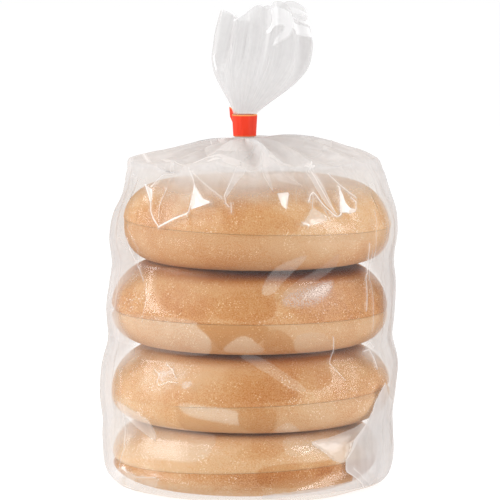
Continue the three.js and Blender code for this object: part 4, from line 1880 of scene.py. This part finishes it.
    def random_folds(self) -> list[Fold]:
        """Make fine folds: upright on the sides, towards the knot on the tent, up the mouth.

        Returns:
            The folds.
        """
        dice = np.random.default_rng(self.seed + 40)
        folds = []
        for centre in (90.0, 270.0):
            for _ in range(9):
                start = centre + dice.uniform(-36.0, 36.0)
                low, tall = dice.uniform(4.0, 96.0), dice.uniform(12.0, 44.0)
                folds.append(self.random_fold(dice, start, low, low + tall, 5.0, 0.42, 0.22))
        for _ in range(24):
            low, high = dice.uniform(128.0, 168.0), dice.uniform(166.0, 187.0)
            folds.append(self.random_fold(dice, dice.uniform(4.0, 356.0), low, high, 9.0, 0.25, 0.18))
        for _ in range(9):
            low, high = dice.uniform(202.0, 222.0), dice.uniform(218.0, 246.0)
            folds.append(self.random_fold(dice, dice.uniform(6.0, 354.0), low, high, 14.0, 0.2, 0.16))
        return folds

    def random_fold(self, dice: np.random.Generator, start: float, low: float, high: float,
                    lean: float, height: float, white: float) -> Fold:
        """Make one fine fold.

        Args:
            dice: the random draws.
            start: its direction in degrees from the middle of the back.
            low: its lower end, in mm up the film.
            high: its upper end.
            lean: how far it may lean, in degrees.
            height: the highest it may stand, in mm.
            white: the strongest painted highlight it may have.

        Returns:
            The fold.
        """
        ends = start + dice.uniform(-lean, lean)
        middle = (start + ends) / 2.0 + dice.uniform(-lean, lean) * 0.3
        degrees = np.clip(np.array([start, middle, ends]), 2.0, 358.0)
        places = np.stack([degrees / 360.0 * self.round_trip,
                           np.array([low, (low + high) / 2.0, high]) * MM], axis=-1)
        sign = 1.0 if dice.uniform() < 0.7 else -1.0
        stands = sign * dice.uniform(0.35, 1.0) * height * MM
        return Fold(places, dice.uniform(0.28, 0.5) * MM, dice.uniform(0.2, 1.0) * white, height=stands)

    def marks(self, plain: Array) -> tuple[list[Fold], list[Pane], list[Patch], list[Mark]]:
        """Put all marks at their places on the unrolled film.

        Args:
            plain: the film's points in the bag's own form.

        Returns:
            The folds, the panes, the patches and the veils.
        """
        view = FrontView(Studio(), plain, self.outward(plain), self.sheet_places(plain))
        folds = [Fold(view.places(seen), width * MM, white, height=height * MM)
                 for seen, height, width, white in self.seen_folds]
        panes = [Pane(view.places(seen), self.pane_border, white, glint=glint)
                 for seen, glint, white in self.seen_panes]
        patches = [Patch(rounded(view.places(seen)), border * MM, white, lift=lift)
                   for seen, lift, white, border in self.seen_patches]
        veils = [Mark(view.places(seen), border * MM, strength, "veil")
                 for seen, strength, border in self.seen_veils]
        return folds + self.random_folds(), panes, patches, veils

    def tracks(self, mark: Mark) -> list[tuple[Array, bool]]:
        """Return the lines of a mark that the mesh keeps as edges.

        Args:
            mark: the mark.

        Returns:
            Each line's points on the unrolled film, and whether it is closed.
        """
        ends = np.vstack([mark.places, mark.places[:1]]) if mark.CLOSED else mark.places
        steps = np.diff(ends, axis=0)
        spans = np.hypot(steps[:, 0] * self.stretch_at(ends[1:]), steps[:, 1])
        reach = np.concatenate([[0.0], np.cumsum(spans)])
        at = np.linspace(0.0, reach[-1], max(2, round(reach[-1] / self.track_step) + 1))
        line = np.stack([np.interp(at, reach, ends[:, 0]), np.interp(at, reach, ends[:, 1])], axis=-1)
        tangent = np.gradient(line, axis=0)
        if mark.CLOSED:
            line = line[:-1]
            tangent = np.roll(line, -1, axis=0) - np.roll(line, 1, axis=0)
        width = self.stretch_at(line)
        run = tangent[:, 0] * width
        length = np.maximum(np.hypot(run, tangent[:, 1]), SMALLEST)
        aside = np.stack([-tangent[:, 1] / length / width, run / length], axis=-1)
        return [(line + aside * mark.border * track, mark.CLOSED) for track in mark.TRACKS]

    def triangulate(self, lattice: Array, lines: list[tuple[Array, bool]]) -> tuple[Array, Array]:
        """Join the film's grid and its marks' lines into one triangle mesh.

        Args:
            lattice: the grid's places, as rows of columns, with the seam's column at both ends.
            lines: the lines that the mesh keeps as edges.

        Returns:
            The mesh's places on the unrolled film, and its triangles.
        """
        edges, count = [], 0
        for line, closed in lines:
            numbers = count + np.arange(len(line))
            edges += list(zip(numbers[:-1].tolist(), numbers[1:].tolist()))
            if closed:
                edges.append((int(numbers[-1]), int(numbers[0])))
            count += len(line)
        drawn = np.vstack([line for line, _ in lines])
        drawn[:, 0] = np.clip(drawn[:, 0], 1.5 * MM, self.round_trip - 1.5 * MM)
        drawn[:, 1] = np.clip(drawn[:, 1], lattice[0, 0, 1] + MM, lattice[-1, 0, 1] - 0.4 * MM)
        crowded = self.crowded(lattice, drawn)
        flat = np.vstack([drawn, lattice.reshape(-1, 2)[~crowded.ravel()]])
        verts, _, faces, *_ = delaunay_2d_cdt([Vector(place) for place in flat.tolist()], edges, [], 0, 1e-8)
        return np.array([tuple(vert) for vert in verts]), np.array([tuple(face) for face in faces])

    def crowded(self, lattice: Array, drawn: Array) -> Array:
        """Return which grid points lie so near a drawn line that the mesh leaves them out.

        Args:
            lattice: the grid's places.
            drawn: the lines' points.

        Returns:
            True for each grid point that is left out.
        """
        cell = 0.55 * MM
        near = set()
        for across, up in np.round(drawn / cell).astype(int).tolist():
            near.update((across + i, up + j) for i in (-1, 0, 1) for j in (-1, 0, 1))
        keys = np.round(lattice / cell).astype(int)
        taken = np.array([[tuple(key) in near for key in row] for row in keys.tolist()])
        taken[:, [0, -1]] = False
        taken[[0, -1]] = False
        return taken

    def shifted(self, places: Array, folds: list[Fold], panes: list[Pane]) -> Array:
        """Return the film's points with its panes turned and its folds raised.

        Args:
            places: places on the unrolled film.
            folds: the folds.
            panes: the flat panes.

        Returns:
            The points.
        """
        stretch = self.stretch_at(places)
        shift = np.zeros(len(places))
        in_any = np.any([is_inside(places, pane.places) for pane in panes], axis=0)
        for pane in panes:
            facing = pane.glint.facing()
            centre = self.sample(self.points, pane.places).mean(axis=0)
            gap, foot = nearest_on(places, pane.places, True, stretch)
            inside = is_inside(places, pane.places)
            near = inside | ((gap < pane.REACH) & ~in_any)
            spots = np.where(inside[:, None], places, foot)[near]
            across = self.sample(self.points, spots)
            tilt = (self.sample(self.facing, spots) * facing).sum(-1)
            move = ((centre - across) @ facing) / np.maximum(tilt, 0.4)
            fade = np.where(inside[near], 1.0, 1.0 - gap[near] / pane.REACH)
            shift[near] += np.clip(move, -2.2 * MM, 2.2 * MM) * fade
        for fold in folds:
            near = fold.near(places)
            shift[near] += fold.rise(places[near], stretch[near])
        return self.sample(self.points, places) + self.sample(self.facing, places) * shift[:, None]

    def looks(self, plain: Array, lift: Array) -> dict[str, Array]:
        """Return how the film looks at each of its points before its marks.

        Args:
            plain: the film's points in the bag's own form.
            lift: how far it lifts off the bread where it is drawn onto it.

        Returns:
            The film's gap from the bread, its whiteness, which is painted sheen, and its veil, each from 0 to
            1.
        """
        zone = self.zones()
        height, up = plain[..., 2], self.sheet_places(plain)[..., 1]
        degrees, sideways = np.degrees(zone["angle"]), np.abs(np.cos(zone["angle"]))
        share = np.clip(self.wrapped(zone, height) * 1.3, 0.0, 1.0)
        shoulder = ease(height, 100 * MM, 112 * MM) * (1.0 - zone["sides"] ** 0.5)
        gap = mix(mix(1.0, 0.45, shoulder * (1.0 - ease(up, 128 * MM, 140 * MM))), lift, share)
        gap = np.where(zone["rows"] < self.base_rows, 0.4, gap)
        # Painted sheen: white for the side lights' reflections on the front's left and right and on the left
        # shoulder.
        painted_sheen = (0.06 * (1.0 - ease(degrees, 205.0, 240.0)) * (degrees > 150.0)
                 + 0.05 * ease(degrees, 285.0, 330.0))
        painted_sheen = painted_sheen * np.clip(share * 1.5, 0.0, 1.0) + 0.07 * shoulder * (1.0 - ease(degrees, 215.0, 262.0))
        tented = np.maximum(zone["on_tent"], ease(up, 126 * MM, 144 * MM) * zone["on_side"])
        middle = ease(degrees, 225.0, 255.0) * (1.0 - ease(degrees, 285.0, 315.0))
        between = sum(np.exp(-(((height - level) / (8 * MM)) ** 2)) for level in self.form.groove_levels)
        wings = ease(sideways, mix(0.91, 0.76, between), mix(0.98, 0.90, between)) * zone["on_side"]
        wings = wings * ease(up, 0.0, 10 * MM)
        veil = np.where(zone["on_tent"], 1.0, np.where(zone["on_tail"], 0.95, wings))
        edge = up + 4 * MM * smooth_noise(self.seed + 33, plain, 13 * MM)
        # Painted sheen also whitens the tent and the top of the sides, most in the middle of the front.
        return {
            "gap": gap, "white": np.maximum(painted_sheen, (0.16 + 0.12 * middle) * tented),
            "veil": np.maximum(veil, ease(edge, 123 * MM, 143 * MM) * zone["on_side"]),
        }

    def build(self, film: bpy.types.Material, bread: BVHTree) -> Object:
        """Make the film's mesh, with its lift and its whiteness, which is painted highlight and sheen, stored
        at each point.

        Args:
            film: the film's material.
            bread: the bagels' surfaces.

        Returns:
            The film.
        """
        plain = self.lay_out()
        creased = plain + self.facets(plain)
        settled = self.relax(plain, creased)
        lift = self.clinging(plain)
        self.points = self.wrap(self.ironed(plain, settled), lift)
        self.row_up = self.sheet_places(plain)[:, 0, 1]
        rounds = np.sqrt(((np.roll(plain, -1, axis=1) - plain) ** 2).sum(-1)).sum(axis=1)
        self.row_width = np.clip(rounds / self.round_trip, 0.03, 1.0)
        self.facing = self.outward(plain)
        folds, panes, patches, veils = self.marks(plain)
        lines = [line for mark in folds + panes + patches + veils for line in self.tracks(mark)]
        columns = np.linspace(0.0, self.round_trip, self.around + 1)
        places, faces = self.triangulate(np.stack(np.meshgrid(columns, self.row_up), axis=-1), lines)
        points = self.shifted(places, folds, panes)
        off_the_bread(points, bread)
        points[:, 2] = np.maximum(points[:, 2], 0.0)
        looks = {name: self.sample(grid, places) for name, grid in self.looks(plain, lift).items()}
        for mark in patches + panes + folds + veils:
            mark.show(looks, places, self.stretch_at(places))
        return self.weld(places, faces, points, looks, film)

    def weld(self, places: Array, faces: Array, points: Array, looks: dict[str, Array],
             film: bpy.types.Material) -> Object:
        """Close the mesh at the back seam and under the base, and make the film's object.

        Args:
            places: places on the unrolled film.
            faces: triangles between them.
            points: the film's points.
            looks: values to store at each point, by name.
            film: the film's material.

        Returns:
            The film.
        """
        tiny = 0.001 * MM
        first = np.flatnonzero(places[:, 0] < tiny)
        last = np.flatnonzero(places[:, 0] > self.round_trip - tiny)
        first = first[np.argsort(places[first, 1])]
        last = last[np.argsort(places[last, 1])]
        target = np.arange(len(places))
        target[last] = first
        keep = np.ones(len(places), dtype=bool)
        keep[last] = False
        number = np.cumsum(keep) - 1
        faces = number[target[faces]]
        inner = np.flatnonzero(keep & (places[:, 1] < self.row_up[0] + tiny))
        inner = inner[np.argsort(places[inner, 0])]
        cap = tuple(int(i) for i in number[inner][::-1])
        sheet = new_object("bag_film", points[keep], faces, (cap,))
        sheet.data.materials.append(film)
        for name, values in looks.items():
            paint(sheet, name, values[keep])
        around = (places[keep, 0] / self.round_trip + 0.25) * FULL_TURN
        radius = self.round_trip / FULL_TURN
        flat = np.stack([radius * np.cos(around), radius * np.sin(around), places[keep, 1]], axis=-1)
        layer = sheet.data.attributes.new("unrolled", "FLOAT_VECTOR", "POINT")
        layer.data.foreach_set("vector", flat.astype(np.float32).ravel())
        return sheet


def bread_tree(halves: list[Object]) -> BVHTree:
    """Gather the surfaces of all bagels.

    Args:
        halves: the bagels' pieces.

    Returns:
        A search tree over them.
    """
    points: list[Vector] = []
    faces: list[tuple[int, ...]] = []
    for half in halves:
        first = len(points)
        points += [vertex.co.copy() for vertex in half.data.vertices]
        faces += [tuple(first + i for i in face.vertices) for face in half.data.polygons]
    return BVHTree.FromPolygons(points, faces)


def off_the_bread(points: Array, bread: BVHTree, skin: float = 0.22 * MM) -> None:
    """Move points that are inside the bread, or touch it, out to just off its skin.

    Args:
        points: places beside the stack, changed in place.
        bread: the bagels' surfaces.
        skin: how far off the skin they end up.
    """
    low, high, inner, outer = 1.5 * MM, 134.0 * MM, 30 * MM, 90 * MM
    reach = np.hypot(points[:, 0], points[:, 1])
    for index in np.flatnonzero((points[:, 2] > low) & (points[:, 2] < high) & (reach > 35 * MM)):
        across, along, height = points[index]
        away = Vector((across, along, 0.0)).normalized()
        hit = bread.ray_cast(Vector((0.0, 0.0, height)) + away * outer, -away, outer - inner)[0]
        if hit is not None and reach[index] < math.hypot(hit.x, hit.y) + skin:
            points[index, :2] *= (math.hypot(hit.x, hit.y) + skin) / reach[index]


# ---- The neck's tape ----


@dataclass(frozen=True)
class NeckTape:
    """The red band round the gathered neck, its two ends stuck together as a tab behind it."""

    form: BagForm
    thickness: float = 0.22 * MM
    clearance: float = 0.15 * MM
    around: int = 120
    rows: int = 16
    tab_length: float = 6.3 * MM
    tab_turn: float = 124.0
    tab_rise: float = 0.4
    tab_slant: float = 5.0 * MM
    tab_columns: int = 13
    edge_top: float = 0.75
    edge_bottom: float = 0.35

    def build(self, tape: bpy.types.Material) -> Object:
        """Make the band and its tab as one folded strip.

        Args:
            tape: the tape's material.

        Returns:
            The band.
        """
        form = self.form
        start = math.radians(self.tab_turn)
        level = np.linspace(0.0, 1.0, self.rows)[:, None]
        height = form.tape_bottom + level * form.tape_width
        angle = start + np.linspace(0.0, FULL_TURN, self.around)[None, :]
        radius = form.neck_radius(angle, height) + self.clearance + self.thickness
        gathers = 0.10 * MM * np.cos(5 * angle + 1.0) + 0.05 * MM * np.cos(11 * angle + 2.0 * level)
        band = ring_points(form.neck_x, 0.0, radius + gathers, angle, height)
        tab = np.array([math.cos(start), math.sin(start), self.tab_rise]) * self.tab_length
        tab = (tab + np.array([0.0, 0.0, 1.0]) * (1.0 - level) * self.tab_slant)[:, None]
        steps = np.linspace(0.0, 1.0, self.tab_columns + 1)[None, 1:, None]
        side = np.array([-math.sin(start), math.cos(start), 0.0]) * self.thickness * 0.6
        strip = np.concatenate(
            [band[:, :1] + tab * steps[:, ::-1], band, band[:, -1:] + tab * steps + side], axis=1)
        rows, columns = strip.shape[:2]
        here = (np.arange(rows - 1)[:, None] * columns + np.arange(columns - 1)[None, :]).ravel()
        quads = np.stack([here, here + 1, here + columns + 1, here + columns], axis=-1)
        made = new_object("neck_tape_band", strip, quads)
        made.data.materials.append(tape)
        edge = np.zeros((rows, columns))
        edge[-1] = self.edge_top
        edge[0] = self.edge_bottom
        paint(made, "edge", edge)
        wall = made.modifiers.new("thickness", "SOLIDIFY")
        wall.thickness = self.thickness
        wall.offset = 0.0
        return made


# ---- The room ----


@dataclass(frozen=True)
class SoftLight:
    """A square softbox that faces a place on the bag."""

    name: str
    place: tuple[float, float, float]
    aim: tuple[float, float, float]
    width: float
    height: float
    power: float

    def build(self) -> Object:
        """Add the light to the scene.

        Returns:
            The light.
        """
        lamp = bpy.data.lights.new(self.name, "AREA")
        lamp.shape = "RECTANGLE"
        lamp.size = self.width
        lamp.size_y = self.height
        lamp.energy = self.power
        made = bpy.data.objects.new(self.name, lamp)
        made.location = self.place
        toward = Vector(self.aim) - Vector(self.place)
        made.rotation_euler = toward.to_track_quat("-Z", "Y").to_euler()
        bpy.context.scene.collection.objects.link(made)
        return made


@dataclass(frozen=True)
class Studio:
    """A white floor, soft lights, a pale surround and the photograph's camera."""

    target_height: float = 99.8 * MM
    distance: float = 1600.0 * MM
    elevation: float = 6.3
    pixels_per_metre: float = 2357.0
    frame_pixels: float = 500.0
    sensor: float = 36.0
    surround: float = 0.54
    floor_half: float = 6.0
    film_layers: int = 32
    lights: tuple[SoftLight, ...] = (
        SoftLight("key_light", (-0.85, -1.05, 0.85), (0.0, 0.0, 0.09), 0.30, 0.30, 4.6),
        SoftLight("fill_light", (0.95, -0.85, 0.55), (0.0, 0.0, 0.09), 0.26, 0.40, 3.4),
        SoftLight("top_light", (0.10, 0.25, 1.25), (0.0, 0.0, 0.12), 0.50, 0.50, 6.0),
        SoftLight("left_wash", (-1.50, -0.45, 0.50), (0.0, 0.0, 0.09), 0.90, 0.90, 19.0),
        SoftLight("right_wash", (1.50, -0.55, 0.45), (0.0, 0.0, 0.09), 0.80, 0.80, 11.0),
    )

    @property
    def eye(self) -> tuple[float, float, float]:
        """Return the camera's place."""
        tilt = math.radians(self.elevation)
        return 0.0, -self.distance * math.cos(tilt), self.target_height + self.distance * math.sin(tilt)

    def project(self, points: Array) -> tuple[Array, Array]:
        """Return the camera's place, and the pixels of the frame at which it sees points.

        Args:
            points: places, as an array whose last axis is x, y, z.

        Returns:
            The camera's place, and the pixels across and down.
        """
        tilt = math.radians(self.elevation)
        eye = np.array(self.eye)
        ahead = np.array([0.0, math.cos(tilt), -math.sin(tilt)])
        upward = np.array([0.0, math.sin(tilt), math.cos(tilt)])
        offset = points - eye
        scale = self.pixels_per_metre * self.distance / (offset @ ahead)
        middle = self.frame_pixels / 2.0
        return eye, np.stack([middle + scale * offset[..., 0], middle - scale * (offset @ upward)], axis=-1)

    def build_camera(self) -> Object:
        """Add the camera at the photograph's viewing angle and make it the scene's own.

        Returns:
            The camera.
        """
        data = bpy.data.cameras.new("photo_camera")
        data.sensor_width = self.sensor
        data.lens = self.sensor * self.pixels_per_metre * self.distance / self.frame_pixels
        data.clip_start = 0.05
        data.clip_end = 60.0
        made = bpy.data.objects.new("photo_camera", data)
        made.location = self.eye
        made.rotation_euler = (math.pi / 2.0 - math.radians(self.elevation), 0.0, 0.0)
        bpy.context.scene.collection.objects.link(made)
        bpy.context.scene.camera = made
        return made

    def build(self) -> list[Object]:
        """Add the floor, the lights and the surround.

        Returns:
            The floor, which isn't part of the object.
        """
        corners = self.floor_half * np.array([[-1.0, -1.0, 0.0], [1.0, -1.0, 0.0], [1.0, 1.0, 0.0],
                                              [-1.0, 1.0, 0.0]])
        floor = new_object("floor", corners, np.array([[0, 1, 2, 3]]))
        floor.data.materials.append(PaperFinish().make())
        for light in self.lights:
            light.build()
        world = bpy.data.worlds.new("surround")
        world.use_nodes = True
        sky = world.node_tree.nodes["Background"]
        sky.inputs["Color"].default_value = WHITE
        sky.inputs["Strength"].default_value = self.surround
        bpy.context.scene.world = world
        bpy.context.scene.cycles.transparent_max_bounces = self.film_layers
        self.build_camera()
        view = bpy.context.scene.view_settings
        view.view_transform = "Standard"
        view.look = "None"
        return [floor]


def place_piece(piece: Object, node: str) -> None:
    """Put a piece on the bag's body, in place of a solid.

    Args:
        piece: the piece.
        node: the solid that it replaces.
    """
    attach(piece, BODY)
    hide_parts(node)
    LOG.info("%s: %d points, in place of %s", piece.name, len(piece.data.vertices), node)


def main() -> None:
    """Build the bag, what it holds and its room, and report each piece."""
    logging.basicConfig(level=logging.INFO, format="%(name)s: %(message)s")
    form = BagForm()
    stack = BagelStack()
    crust, crumb = CrustFinish().make(), CutFinish().make()
    halves = stack.build(crust, crumb)
    for piece in halves:
        place_piece(piece, "bag")
    film = FilmSheet(form, stack).build(FilmFinish().make(), bread_tree(halves))
    place_piece(film, "bag")
    tape = NeckTape(form).build(TapeFinish().make())
    place_piece(tape, "neck_tape")
    for item in Studio().build():
        LOG.info("%s: stage", item.name)


if __name__ == "__main__":
    main()
